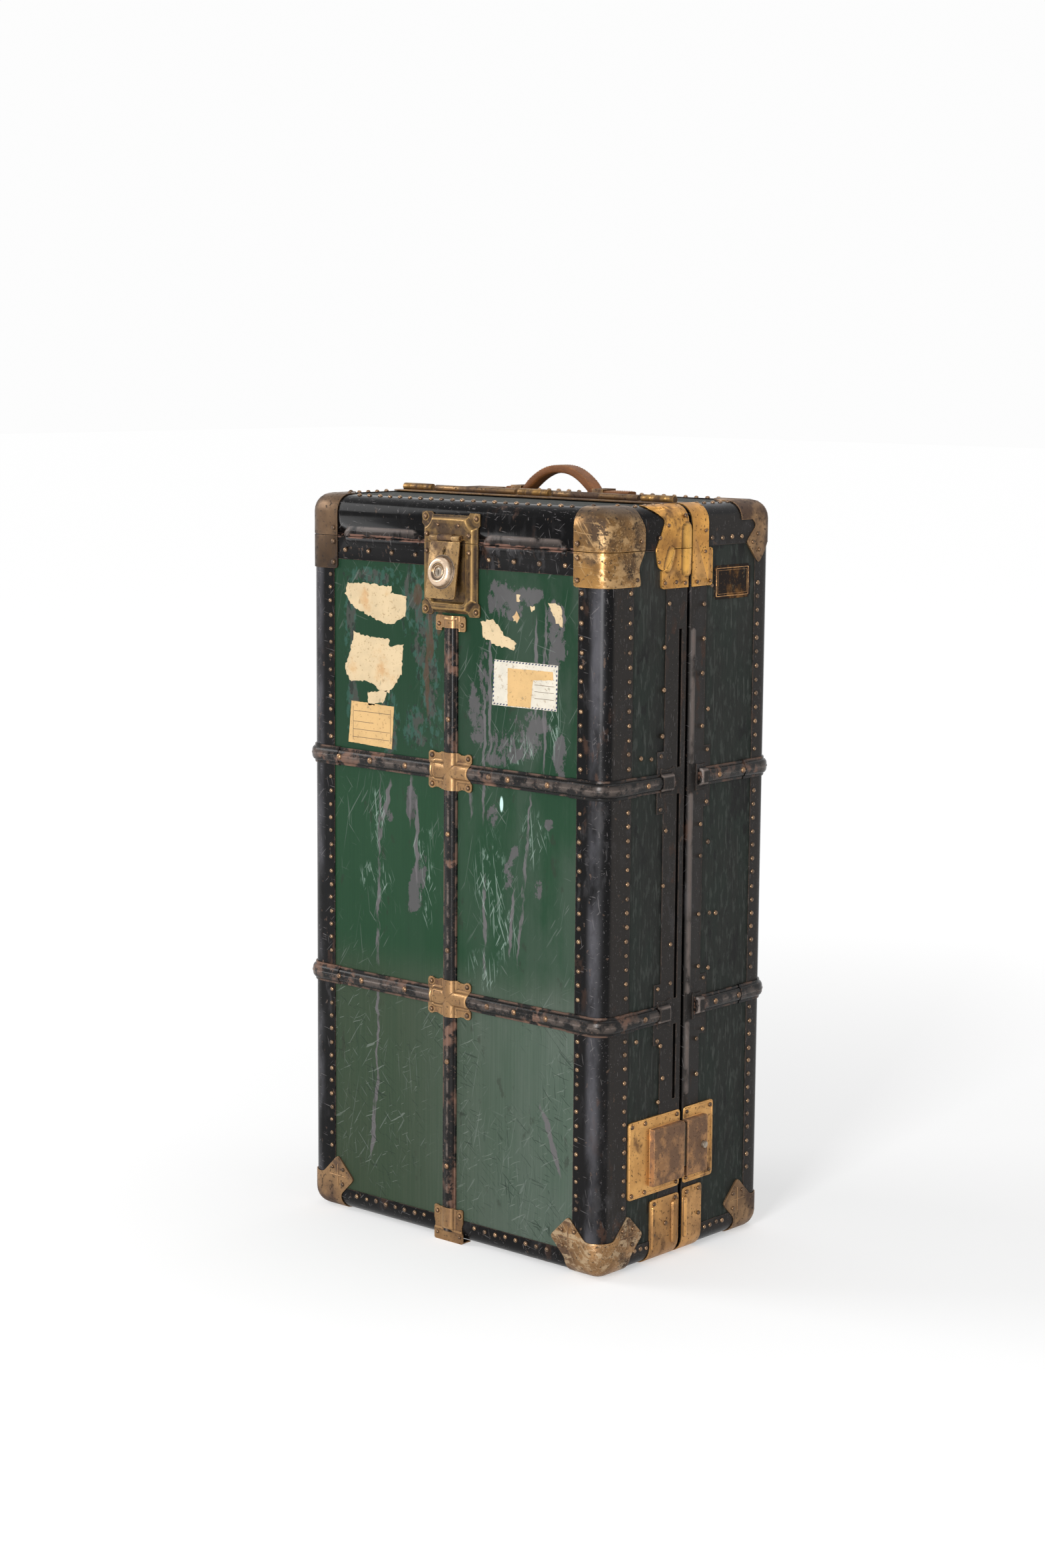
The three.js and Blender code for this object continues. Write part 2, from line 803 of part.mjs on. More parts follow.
const footClip = clipSheet(footClipWidth, -far, footClipHeight, centerBandFoot - clipWrap, footClipHeight);
piece(frontShell, "bottom_clip", footClip, materials.brass);

const lockClipTop = lockClipLow + lockClipHeight;
const lockClip = clipSheet(
  lockClipWidth,
  lockClipLow,
  lockClipTop,
  lockClipLow,
  centerBandTop + clipWrap,
);
piece(frontShell, "lock_clip", lockClip, materials.brass);

// Corner caps: a sheet over the rounded corner, cut to lobed outlines on its three faces
function capOutline(points, side, startX, sign, startZ) {
  return roundedShape(
    points.map(([across, up]) => [startX - side * across, startZ - sign * up]),
    capCorner,
  );
}

function cornerCap(xSide, ySide, zSide, faceOutline, sideOutline, levelOutline) {
  const edgeX = xSide * halfWidth;
  const edgeY = ySide < 0 ? 0 : caseDepth;
  const edgeZ = zSide < 0 ? 0 : caseHeight;
  const face = capOutline(faceOutline, xSide, edgeX, zSide, edgeZ);
  const flank = capOutline(sideOutline, ySide, edgeY, zSide, edgeZ);
  const level = capOutline(levelOutline, xSide, edgeX, ySide, edgeY);
  const nearY = ySide < 0 ? [-edgeRadius, edgeRadius] : [caseDepth - edgeRadius, caseDepth + edgeRadius];
  const nearX = xSide < 0 ? [-halfWidth - edgeRadius, -halfWidth + edgeRadius]
    : [halfWidth - edgeRadius, halfWidth + edgeRadius];
  const nearZ = zSide < 0 ? [-edgeRadius, edgeRadius] : [caseHeight - edgeRadius, caseHeight + edgeRadius];
  const region = union([
    frontPrism(face, ...nearY),
    sidePrism(flank, ...nearX),
    topPrism(level, ...nearZ),
  ]);
  return seated(sheetOn(plateOut, region));
}

const bottomLobe = [
  [-edgeRadius, -edgeRadius],
  [-edgeRadius, capSaddle],
  [capNeck, capSaddle],
  [lobeTopAcross, lobeTopUp],
  [lobeTipAcross, lobeTipUp],
  [capBase, lobeWaist],
  [capBase, -edgeRadius],
];
const bottomLevel = [
  [-edgeRadius, -edgeRadius],
  [-edgeRadius, capBase],
  [capNeck, capBase],
  [capBase, capNeck],
  [capBase, -edgeRadius],
];
const topLobe = [
  [-edgeRadius, -edgeRadius],
  [-edgeRadius, archFoot],
  [capNeck / 2, archFoot],
  [archFootAcross, archFootDown],
  [archTipAcross, archTipDown],
  [archNeckAcross, archNeckDown],
  [capBase, capNeck / 2],
  [archStart, -edgeRadius],
];
const topLevel = [
  [-edgeRadius, -edgeRadius],
  [-edgeRadius, archStart],
  [archNeckAcross, archStart],
  [archStart, archNeckAcross],
  [archStart, -edgeRadius],
];
const frontCapDepth = lidHeight + splitGap + frontCapDrop;
const frontFace = [
  [-edgeRadius, -edgeRadius],
  [-edgeRadius, frontCapDepth],
  [frontCapFace, frontCapDepth],
  [frontCapFace, -edgeRadius],
];
const frontFlank = [
  [-edgeRadius, -edgeRadius],
  [-edgeRadius, frontCapDepth],
  [frontCapSide, frontCapDepth],
  [frontCapSide - capCorner, lidHeight + frontCapDrop / 2],
  [lidCapSide, lidHeight],
  [lidCapSide, lidHeight / 2],
  [frontCapSide, edgeRadius / 2],
  [frontCapSide, -edgeRadius],
];
const frontLevel = [
  [-edgeRadius, -edgeRadius],
  [-edgeRadius, frontCapSide],
  [frontCapFace / 2, frontCapSide],
  [frontCapFace, frontCapSide / 2],
  [frontCapFace, -edgeRadius],
];
for (const [word, xSide] of [["left", -1], ["right", 1]]) {
  const bottomFront = cornerCap(xSide, -1, -1, bottomLobe, bottomLobe, bottomLevel);
  const bottomRear = cornerCap(xSide, 1, -1, bottomLobe, bottomLobe, bottomLevel);
  const topRear = cornerCap(xSide, 1, 1, topLobe, topLobe, topLevel);
  const topFront = cornerCap(xSide, -1, 1, frontFace, frontFlank, frontLevel);
  piece(frontShell, "front_cap_bottom_" + word, bottomFront, materials.brass);
  piece(rearShell, "rear_cap_bottom_" + word, bottomRear, materials.brass);
  piece(rearShell, "rear_cap_top_" + word, topRear, materials.brass);
  piece(frontShell, "front_cap_top_" + word, topFront.intersect(belowSplit), materials.brass);
  piece(liftTop, "lid_cap_" + word, topFront.intersect(aboveSplit), materials.brass);
}

// Hinges: the pin runs along x through the origin, and the leaf lies on the side's half of y.
function hingeLeaf(side, width, length, barrels, carriesPin) {
  const low = -knuckleRadius;
  const plate = side > 0
    ? block(-length / 2, length / 2, 0, width, low, low + leafThickness)
    : block(-length / 2, length / 2, -width, 0, low, low + leafThickness);
  const half = barrelLength / 2;
  const middle = middleKnuckle / 2;
  const ring = (radius, from, to) => rod(acrossX, radius, to - from, new THREE.Vector3(from, 0, 0));
  const mine = [];
  const theirs = [];
  for (const at of barrels) {
    const outer = [[at - half, at - middle - hingeClearance], [at + middle + hingeClearance, at + half]];
    const inner = [[at - middle, at + middle]];
    mine.push(...(carriesPin ? outer : inner));
    theirs.push(...(carriesPin ? inner : outer));
  }
  const ribs = [];
  for (let i = 0; i + 1 < barrels.length; i++) {
    ribs.push([barrels[i] + half + ribMargin, barrels[i + 1] - half - ribMargin]);
  }
  const grow = hingeClearance;
  let leaf = plate;
  for (const [from, to] of theirs) {
    leaf = leaf.subtract(ring(knuckleRadius + grow, from - grow, to + grow));
  }
  if (!carriesPin) {
    for (const [from, to] of ribs) {
      leaf = leaf.subtract(ring(ribRadius + grow, from - grow, to + grow));
      leaf = leaf.subtract(block(from - grow, to + grow, -grow - leafThickness, grow, low, 0));
    }
  }
  for (const [from, to] of mine) {
    leaf = leaf.add(ring(knuckleRadius, from, to));
  }
  if (carriesPin) {
    for (const at of barrels) {
      leaf = leaf.add(ring(pinRadius, at - half, at + half));
    }
    for (const [from, to] of ribs) {
      leaf = leaf.add(ring(ribRadius, from, to)).add(block(from, to, 0, ribRadius, low, 0));
    }
    return leaf;
  }
  for (const at of barrels) {
    leaf = leaf.subtract(ring(pinRadius + grow, at - half, at + half));
  }
  return leaf;
}

const axisOut = knuckleRadius + fitGap;
const topBarrels = [-topBarrelSpacing, 0, topBarrelSpacing];
const topAxis = new THREE.Vector3(0, seamMiddle, caseHeight + axisOut);
const topRear = piece(
  rearShell,
  "top_hinge_rear_leaf",
  hingeLeaf(1, topLeafWidth, topLeafLength, topBarrels, true),
  materials.bronze,
);
topRear.position.copy(topAxis);
const topLid = piece(
  liftTop,
  "top_hinge_lid_leaf",
  hingeLeaf(-1, topLeafWidth, topLeafLength, topBarrels, false),
  materials.bronze,
);
topLid.position.copy(topAxis);

const sideBarrels = [-sideBarrelSpacing, 0, sideBarrelSpacing];
const sideAxis = new THREE.Vector3(-halfWidth - axisOut, seamMiddle, sideLeafMiddle);
const outLeft = new THREE.Vector3(-1, 0, 0);
const upright = new THREE.Matrix4().makeBasis(upZ, alongY, outLeft);
for (const [parent, name, side, carriesPin] of [
  [rearShell, "side_hinge_rear_leaf", 1, true],
  [frontShell, "side_hinge_front_leaf", -1, false],
]) {
  const leaf = piece(
    parent,
    name,
    hingeLeaf(side, sideLeafWidth, sideLeafLength, sideBarrels, carriesPin),
    materials.bronze,
  );
  leaf.quaternion.setFromRotationMatrix(upright);
  leaf.position.copy(sideAxis);
}

// The lock
const lockProfile = [
  [-lockPanelWidth / 2, 0],
  [-lockPanelWidth / 2 + lockShoulder / 2, lockPanelProud - lockShoulder / 2],
  [-lockPanelWidth / 2 + lockShoulder, lockPanelProud],
  [lockPanelWidth / 2 - lockShoulder, lockPanelProud],
  [lockPanelWidth / 2 - lockShoulder / 2, lockPanelProud - lockShoulder / 2],
  [lockPanelWidth / 2, 0],
];

function lockPanel(low, high) {
  const outline = polygon(lockProfile.map(([across, out]) => [across, -out]).reverse());
  return topPrism(outline, low, high);
}

const haspAxis = new THREE.Vector3(0, -haspAxisOut, lidBottom + haspAxisHeight);

function upperLock() {
  const wide = lockWidth / 2;
  const high = lidBottom + lockUpperHeight;
  const sheet = sheetOn(plateOut, block(-wide, wide, -far, edgeRadius, lidBottom, high));
  const panel = lockPanel(lidBottom, high - lockMargin);
  const half = haspMiddle / 2;
  const start = new THREE.Vector3(-half, haspAxis.y, haspAxis.z);
  const knuckle = rod(acrossX, haspKnuckle, haspMiddle, start);
  const neck = block(-half, half, haspAxis.y, -plateOut, haspAxis.z, haspAxis.z + haspKnuckle);
  const swing = rod(
    acrossX,
    haspKnuckle + 2 * hingeClearance,
    haspWidth + 2 * hingeClearance,
    new THREE.Vector3(-haspWidth / 2 - hingeClearance, haspAxis.y, haspAxis.z),
  );
  const pin = rod(
    acrossX,
    haspPin,
    haspWidth,
    new THREE.Vector3(-haspWidth / 2, haspAxis.y, haspAxis.z),
  );
  return seated(sheet.add(panel)).subtract(swing).add(seated(neck)).add(knuckle).add(pin);
}

piece(liftTop, "lock_plate_upper", upperLock(), materials.brass);

function lowerLock() {
  const wide = lockWidth / 2;
  const low = frontTop - lockLowerHeight;
  const sheet = sheetOn(plateOut, block(-wide, wide, -far, edgeRadius, low, frontTop));
  const panel = lockPanel(low + lockMargin, frontTop);
  const recess = block(
    -recessWidth / 2,
    recessWidth / 2,
    -far,
    -recessFloor,
    low + 2 * lockMargin,
    far,
  );
  return seated(sheet.add(panel).subtract(recess));
}

piece(frontShell, "lock_plate_lower", lowerLock(), materials.brass);

// The hasp in its own frame: its pin along x through the origin, its plate hanging down.
const hasp = new THREE.Group();
hasp.position.copy(haspAxis);
hasp.rotation.x = THREE.MathUtils.degToRad(-haspRestAngle);
liftTop.add(hasp);

function haspBody() {
  const wide = haspWidth / 2;
  const back = haspThickness / 2;
  const outline = roundedShape(
    [
      [-wide, -haspKnuckle / 2],
      [-wide, -haspLength],
      [wide, -haspLength],
      [wide, -haspKnuckle / 2],
    ],
    capCorner,
  );
  const plate = frontPrism(outline, -back, back);
  const middle = haspMiddle / 2 + hingeClearance;
  const knuckles = [-1, 1].map((side) => {
    const start = side < 0 ? -wide : middle;
    return rod(acrossX, haspKnuckle, wide - middle, new THREE.Vector3(start, 0, 0));
  });
  const bore = rod(
    acrossX,
    haspPin + hingeClearance,
    haspWidth + 2 * haspPin,
    new THREE.Vector3(-wide - haspPin, 0, 0),
  );
  const room = rod(
    acrossX,
    haspKnuckle + hingeClearance,
    2 * middle,
    new THREE.Vector3(-middle, 0, 0),
  );
  const lockCase = block(
    -haspCaseWidth / 2,
    haspCaseWidth / 2,
    0,
    back + haspCaseDepth,
    -haspCaseLow,
    -haspCaseHigh,
  );
  const domeShares = [
    [0, 0],
    [1, 0],
    [0.97, 0.35],
    [0.86, 0.72],
    [0.7, 0.95],
    [0.56, 1],
    [0.45, 0.82],
    [0, 0.78],
  ];
  const domeProfile = domeShares.map(
    ([out, up]) => new THREE.Vector2(out * domeRadius, up * (domeHeight + back)),
  );
  const dome = new THREE.LatheGeometry(domeProfile, domeSides);
  dome.rotateX(Math.PI).translate(0, 0, -domeDrop);
  const seat = rod(
    new THREE.Vector3(0, -1, 0),
    cylinderRadius + fitGap,
    domeHeight + haspThickness + cylinderLength,
    new THREE.Vector3(0, back - fitGap, -domeDrop),
  );
  const slot = block(
    -haspSlotWidth / 2,
    haspSlotWidth / 2,
    -haspThickness,
    haspThickness,
    -haspSlotDrop - haspSlotHeight / 2,
    -haspSlotDrop + haspSlotHeight / 2,
  );
  return union([plate, lockCase, solid(dome)])
    .subtract(room)
    .add(union(knuckles))
    .subtract(bore)
    .subtract(seat)
    .subtract(slot);
}

piece(hasp, "hasp", haspBody(), materials.brass);

function keyCylinder() {
  const body = rod(
    new THREE.Vector3(0, -1, 0),
    cylinderRadius,
    cylinderLength,
    new THREE.Vector3(0, 0, 0),
  );
  const slot = block(
    -keySlotWidth / 2,
    keySlotWidth / 2,
    -far,
    -cylinderLength + keySlotDepth,
    -keySlotHeight / 2,
    keySlotHeight / 2,
  );
  return body.subtract(slot);
}

const cylinder = piece(hasp, "key_cylinder", keyCylinder(), materials.nickel);
cylinder.position.set(0, haspThickness / 2 - 2 * fitGap, -domeDrop);

// Brass plates on the right side
function sidePlate(points, out, radius = capCorner) {
  const shape = roundedShape(points, radius);
  const region = sidePrism(shape, halfWidth - plateWrap, halfWidth + edgeRadius);
  return sheetOn(out, region);
}

const ridge = bump(
  ridgeHigh - ridgeLow,
  ridgeWidth,
  ridgeProud,
  upZ,
  acrossX,
  new THREE.Vector3(halfWidth, frontDepth - ridgeReach, (ridgeLow + ridgeHigh) / 2),
);
const lensTop = new THREE.Vector3(0, Math.sin(THREE.MathUtils.degToRad(lensTilt)), 0);
lensTop.z = Math.cos(THREE.MathUtils.degToRad(lensTilt));
const lens = bump(
  lensLength,
  lensWidth,
  lensProud + plateOut,
  lensTop,
  acrossX,
  new THREE.Vector3(halfWidth, lensAcross, lensHigh),
);

function partingSide(grow) {
  return roundedShape(
    [
      [-far, far],
      [-far, lobeLow],
      [lobeLowAcross + grow, lobeLow - grow],
      [lensAcross + grow, lensHigh + grow / 2],
      [partingAcross + grow, lidBottom + grow],
      [partingAcross + grow, far],
    ],
    capCorner,
  );
}

const lidPlateShape = [
  [plateWrapStart, far],
  [plateWrapStart, caseHeight],
  [lobeNeckAcross, lobeNeckHigh],
  [(lobeNeckAcross + lobeStart) / 2, lobeHigh],
  [lobeStart, lidBottom],
  [lobeStart + capCorner, lobeLow + capCorner],
  [lobeLowAcross, lobeLow],
  [far, lobeLow],
  [far, far],
];
const frontPlateShape = [
  [topPlateFrontStart, topPlateFoot],
  [far, topPlateFoot],
  [far, far],
  [topPlateFrontStart, far],
];
const lidSide = aboveSplit.add(
  sidePrism(partingSide(-partingGap / 2), halfWidth - edgeRadius, far).intersect(
    block(-far, far, -far, frontDepth, -far, far),
  ),
);
const lidPlate = sidePlate(lidPlateShape, plateOut)
  .add(ridge)
  .add(lens)
  .intersect(lidSide);
const lidPlateSeat = hull(fitGap).intersect(block(-far, far, -far, far, -far, lidBottom));
piece(liftTop, "lid_top_plate", seated(lidPlate).subtract(lidPlateSeat), materials.brass);

const frontPlate = sidePlate(frontPlateShape, plateOut)
  .add(ridge)
  .add(lens)
  .intersect(belowSplit)
  .subtract(sidePrism(partingSide(partingGap / 2), halfWidth - edgeRadius, far));
piece(frontShell, "front_top_plate", seated(frontPlate), materials.brass);

const rearPlateEnd = rearFace + rearPlateReach;
const rearPlateSheet = sidePlate(
  [
    [rearFace - far, topPlateFoot],
    [rearPlateEnd, topPlateFoot],
    [rearPlateEnd, far],
    [rearFace - far, far],
  ],
  plateOut,
);
const rearFlangeSheet = sidePlate(
  [
    [rearPlateEnd - capCorner, topPlateFoot],
    [rearFace + flangeReach, topPlateFoot],
    [rearFace + flangeReach, flangeTop],
    [rearPlateEnd - capCorner, flangeTop],
  ],
  flangeOut,
);
const rearPlate = rearPlateSheet.add(rearFlangeSheet).intersect(
  block(-far, far, rearFace, far, -far, far),
);
piece(rearShell, "rear_top_plate", seated(rearPlate), materials.brass);

// The bottom catch: a housing on each shell, and a tongue that crosses the seam
function housing(y0, y1) {
  const face = halfWidth + housingProud;
  const outline = [
    [halfWidth - edgeRadius / 2, housingLow],
    [face - housingSlope, housingLow],
    [face, housingLow + housingSlope],
    [face, housingHigh - housingSlope],
    [face - housingSlope, housingHigh],
    [halfWidth - edgeRadius / 2, housingHigh],
  ];
  return push(polygon(outline), acrossX, upZ, y1 - y0, new THREE.Vector3(0, y1, 0));
}

const tongueIn = halfWidth + tongueOut;
const tongueFace = tongueIn + tongueThickness;

const frontCatchPlate = sidePlate(
  [
    [catchFrontStart, catchLow],
    [frontDepth, catchLow],
    [frontDepth, catchHigh],
    [catchFrontStart, catchHigh],
  ],
  plateOut,
);
const tongueSlot = block(
  tongueIn - fitGap,
  tongueFace + fitGap,
  tongueRoot - fitGap,
  far,
  tongueLow - fitGap,
  tongueHigh + fitGap,
);
const frontCatch = frontCatchPlate.add(housing(housingFrontStart, frontDepth)).subtract(tongueSlot);
piece(frontShell, "front_catch_plate", seated(frontCatch), materials.brass);

const tongueHole = block(
  -far,
  far,
  rearFace + tongueHoleStart,
  rearFace + tongueHoleStart + tongueHoleLength,
  tongueHoleLow,
  tongueHoleHigh,
);
const tongue = block(tongueIn, tongueFace, tongueRoot, rearFace + tongueReach, tongueLow, tongueHigh);
piece(frontShell, "catch_tongue", tongue.subtract(tongueHole), materials.nickel);

const rearCatchPlate = sidePlate(
  [
    [rearFace, catchLow],
    [rearFace + catchRearReach, catchLow],
    [rearFace + catchRearReach, catchHigh],
    [rearFace, catchHigh],
  ],
  plateOut,
);
const tongueEntrance = block(
  tongueIn - tongueEntry,
  tongueFace + tongueEntry,
  -far,
  rearFace + tongueReach + tongueEntry,
  tongueLow - tongueEntry,
  tongueHigh + tongueEntry,
);
const buttonFace = halfWidth + housingProud + buttonProud;
const buttonBack = buttonFace - buttonLength;
const buttonBore = rod(
  acrossX,
  buttonRadius + fitGap,
  far,
  new THREE.Vector3(buttonBack - buttonTravel - fitGap, rearFace + buttonAcross, buttonHigh),
);
const rearCatch = seated(rearCatchPlate.add(housing(rearFace, rearFace + housingRearReach)))
  .subtract(tongueEntrance)
  .subtract(buttonBore);
piece(rearShell, "rear_catch_plate", rearCatch, materials.brass);

const button = rod(acrossX, buttonRadius, buttonLength, new THREE.Vector3(0, 0, 0));
const catchButton = piece(rearShell, "catch_button", button, materials.nickel);
catchButton.position.set(buttonBack, rearFace + buttonAcross, buttonHigh);

// Brass feet at the bottom of the seam
function foot(y0, y1, height) {
  return sidePlate([[y0, -far], [y1, -far], [y1, height], [y0, height]], plateOut);
}

const frontFoot = seated(foot(footFrontStart, frontDepth, footFrontHeight));
piece(frontShell, "front_foot_plate", frontFoot, materials.brass);
const footBead = bead(
  footBeadLow,
  footBeadHigh,
  beadWidth,
  beadProud + plateOut,
  rearFace + beadWidth / 2,
);
const rearFoot = seated(foot(rearFace, rearFace + footRearReach, footRearHeight).add(footBead));
piece(rearShell, "rear_foot_plate", rearFoot, materials.brass);

// The leather handle: a strap that arches between two keepers, with a tab beyond each
const strapBottom = caseHeight - bindingThickness + keeperSheet;
const strapTop = strapBottom + strapThickness;
const leafBack = seamMiddle + topLeafWidth;
const handleY = leafBack + (caseDepth - bindingLidTop - leafBack) * handleShare;

function strapShape() {
  const shape = new THREE.Shape();
  const rise = strapBottom + archRise;
  const bend = (archRight - archLeft) * archBendShare;
  const inset = strapThickness / 2;
  shape.moveTo(strapLeft, strapBottom);
  shape.lineTo(archLeft, strapBottom);
  shape.bezierCurveTo(archLeft + bend, strapBottom, archPeak - bend, rise, archPeak, rise);
  shape.bezierCurveTo(archPeak + bend, rise, archRight - bend, strapBottom, archRight, strapBottom);
  shape.lineTo(strapRight, strapBottom);
  shape.lineTo(strapRight, strapTop);
  shape.lineTo(archRight + inset, strapTop);
  const crest = rise + strapThickness;
  shape.bezierCurveTo(archRight - bend + inset, strapTop, archPeak + bend, crest, archPeak, crest);
  shape.bezierCurveTo(archPeak - bend, crest, archLeft + bend - inset, strapTop, archLeft - inset, strapTop);
  shape.lineTo(strapLeft, strapTop);
  shape.closePath();
  return shape;
}

const strap = frontPrism(strapShape(), handleY - strapWidth / 2, handleY + strapWidth / 2, edgeSteps * 2);
piece(rearShell, "handle_strap", strap, materials.leather);

function keeper(middle) {
  const x0 = middle - keeperLength / 2;
  const x1 = middle + keeperLength / 2;
  const inside = strapWidth / 2 + keeperGap;
  const outside = inside + keeperSheet;
  const floor = caseHeight - bindingThickness;
  const roof = strapTop + keeperGap;
  const sheet = block(x0, x1, -outside, outside, floor, roof + keeperSheet);
  const feet = block(x0, x1, -outside - keeperFoot, outside + keeperFoot, floor, floor + keeperSheet);
  const room = block(x0 - keeperFoot, x1 + keeperFoot, -inside, inside, strapBottom - keeperGap, roof);
  return sheet.add(feet).subtract(room).translate([0, handleY, 0]);
}

piece(rearShell, "handle_keeper_left", keeper(keeperLeft), materials.bronze);
piece(rearShell, "handle_keeper_right", keeper(keeperRight), materials.bronze);

// The drawer rack and its drawers
const rackOuter = halfWidth - innerIn - fitGap;
const rackInner = rackOuter - rackBoard;
const rackFront = rearFace + rackSetback;
const rackEnd = caseDepth - rackBack;
const rackFloor = innerIn + fitGap;
const rackRoof = caseHeight - innerIn - hatSpace;
const shelves = rackBase + drawerShares.length * shelfThickness;
const drawerHeights = drawerShares.map((share) => (rackRoof - rackFloor - shelves) * share);
const drawerBottoms = [];
let nextBottom = rackFloor + rackBase;
for (const height of drawerHeights) {
  drawerBottoms.push(nextBottom);
  nextBottom += height + shelfThickness;
}

function rack() {
  const roof = nextBottom;
  const boards = [
    block(-rackOuter, -rackInner, rackFront, rackEnd, rackFloor, roof),
    block(rackInner, rackOuter, rackFront, rackEnd, rackFloor, roof),
    block(-rackOuter, rackOuter, rackFront, rackEnd, rackFloor, rackFloor + rackBase),
  ];
  drawerHeights.forEach((height, i) => {
    const top = drawerBottoms[i] + height;
    boards.push(block(-rackOuter, rackOuter, rackFront, rackEnd, top, top + shelfThickness));
  });
  return union(boards).intersect(hull(-innerIn - fitGap));
}

piece(rearShell, "drawer_rack", rack(), materials.wood);

function drawer(height) {
  const wide = rackInner - drawerClear;
  const deep = rackEnd - rackFront - drawerClear;
  const box = block(-wide, wide, 0, deep, 0, height - 2 * drawerClear);
  const room = block(
    -wide + drawerWall,
    wide - drawerWall,
    drawerFront,
    deep - drawerWall,
    drawerFloor,
    height,
  );
  const pulls = [-1, 1].map((side) => {
    const middle = side * pullSpread;
    const high = height / 2 + pullHeight / 2;
    const tab = block(
      middle - pullWidth / 2,
      middle + pullWidth / 2,
      -pullReach,
      drawerFront / 2,
      high - pullThickness,
      high,
    );
    const lip = block(
      middle - pullWidth / 2,
      middle + pullWidth / 2,
      -pullReach,
      -pullReach + pullThickness / 2,
      high - pullHeight,
      high,
    );
    return tab.add(lip);
  });
  return union([box.subtract(room), ...pulls]);
}

drawerHeights.forEach((height, i) => {
  const mesh = piece(rearShell, "drawer_" + (i + 1), drawer(height), materials.wood);
  mesh.position.set(0, rackFront, drawerBottoms[i] + fitGap);
});

// Hanger gear: a channel on each side wall, a frame that slides in them, and hangers on its rod
const railOuter = halfWidth - innerIn - fitGap;
const railTop = railBottom + 2 * railWeb + armHeight + 2 * armGap;

function rail() {
  const inner = railOuter - railFlange;
  const parts = [-1, 1].map((side) => {
    const x0 = side < 0 ? -railOuter : inner;
    const x1 = side < 0 ? -inner : railOuter;
    const whole = block(x0, x1, railStart, railStart + railLength, railBottom, railTop);
    const room = block(
      side < 0 ? -railOuter + railWeb : inner - railWeb,
      side < 0 ? -inner + railWeb : railOuter - railWeb,
      railStart - railWeb,
      far,
      railBottom + railWeb,
      railTop - railWeb,
    );
    return whole.subtract(room);
  });
  const inside = hull(-innerIn - fitGap);
  const round = inside
    .subtract(hull(-innerIn - fitGap - railWeb))
    .intersect(block(-far, far, -far, railStart + edgeRadius, railBottom, railTop));
  return union(parts).intersect(inside).add(round);
}

piece(frontShell, "trolley_rail", rail(), materials.nickel);

const armOuter = railOuter - railWeb - 2 * armGap - lipThickness;
const armBottom = railBottom + railWeb + armGap;
const rodHeight = armBottom + armHeight / 2;
const trolley = new THREE.Group();
frontShell.add(trolley);

function trolleyFrame() {
  const arms = [-1, 1].map((side) => {
    const x0 = side < 0 ? -armOuter : armOuter - armWidth;
    return block(x0, x0 + armWidth, armStart, armEnd, armBottom, armBottom + armHeight);
  });
  const bars = [armStart, armEnd - crossBar].map((start) =>
    block(-armOuter, armOuter, start, start + crossBar, armBottom, armBottom + armHeight),
  );
  const middle = rod(
    alongY,
    rodRadius,
    armEnd - armStart - crossBar,
    new THREE.Vector3(0, armStart + crossBar / 2, rodHeight),
  );
  return union([...arms, ...bars, middle]);
}

piece(trolley, "trolley_frame", trolleyFrame(), materials.nickel);

// A hanger in its own frame: the rod's centre is the origin.
function hangerHook() {
  const reach = rodRadius + wireRadius + fitGap;
  const turn = Math.PI * 2;
  const loopShares = [0.6, 0.5, 0.38, 0.25, 0.12, 0];
  const points = loopShares.map(
    (share) => new THREE.Vector3(reach * Math.cos(turn * share), 0, reach * Math.sin(turn * share)),
  );
  points.push(
    new THREE.Vector3(reach * Math.cos(Math.PI / 4), 0, -reach),
    new THREE.Vector3(0, 0, -reach * 2),
    new THREE.Vector3(0, 0, -hangerDrop - hangerWaist / 2),
  );
  const path = new THREE.CatmullRomCurve3(points);
  const wire = new THREE.Shape().absarc(0, 0, wireRadius, 0, turn);
  return solid(
    new THREE.ExtrudeGeometry(wire, {
      steps: domeSides,
      curveSegments: edgeSteps,
      extrudePath: path,
    }),
  );
}

function hangerBody() {
  const shape = new THREE.Shape();
  const neck = hangerHalf * hangerNeckShare;
  const bow = hangerHalf / 2;
  const end = -hangerDrop - shoulderDrop;
  shape.moveTo(-neck, -hangerDrop);
  shape.quadraticCurveTo(-bow, -hangerDrop, -hangerHalf, end + shoulderThickness);
  shape.lineTo(-hangerHalf, end);
  shape.quadraticCurveTo(-bow, -hangerDrop - hangerWaist, 0, -hangerDrop - hangerWaist);
  shape.quadraticCurveTo(bow, -hangerDrop - hangerWaist, hangerHalf, end);
  shape.lineTo(hangerHalf, end + shoulderThickness);
  shape.quadraticCurveTo(bow, -hangerDrop, neck, -hangerDrop);
  shape.closePath();
  return frontPrism(shape, -hangerThickness / 2, hangerThickness / 2, edgeSteps * 2);
}

const hangerForm = hangerBody().add(hangerHook());
for (let i = 0; i < hangerCount; i++) {
  const hanger = piece(trolley, "hanger_" + (i + 1), hangerForm, materials.wood);
  hanger.position.set(0, hangerFirst + i * hangerSpacing, rodHeight);
}

// The cushion under the lift top
const cushionWidth = caseWidth - 2 * (innerIn + cushionMargin);
const cushionDepth = frontDepth - cushionFront - cushionBack;
const cushionTop = caseHeight - innerIn - fitGap;
const cushionBottom = lidBottom + cushionLow;
const cushionBlock = new RoundedBoxGeometry(
  cushionWidth,
  cushionDepth,
  cushionTop - cushionBottom,
  cushionSteps,
  cushionRadius,
);
const cushion = piece(liftTop, "lid_cushion", solid(cushionBlock), materials.lining);
cushion.position.set(0, cushionFront + cushionDepth / 2, (cushionTop + cushionBottom) / 2);

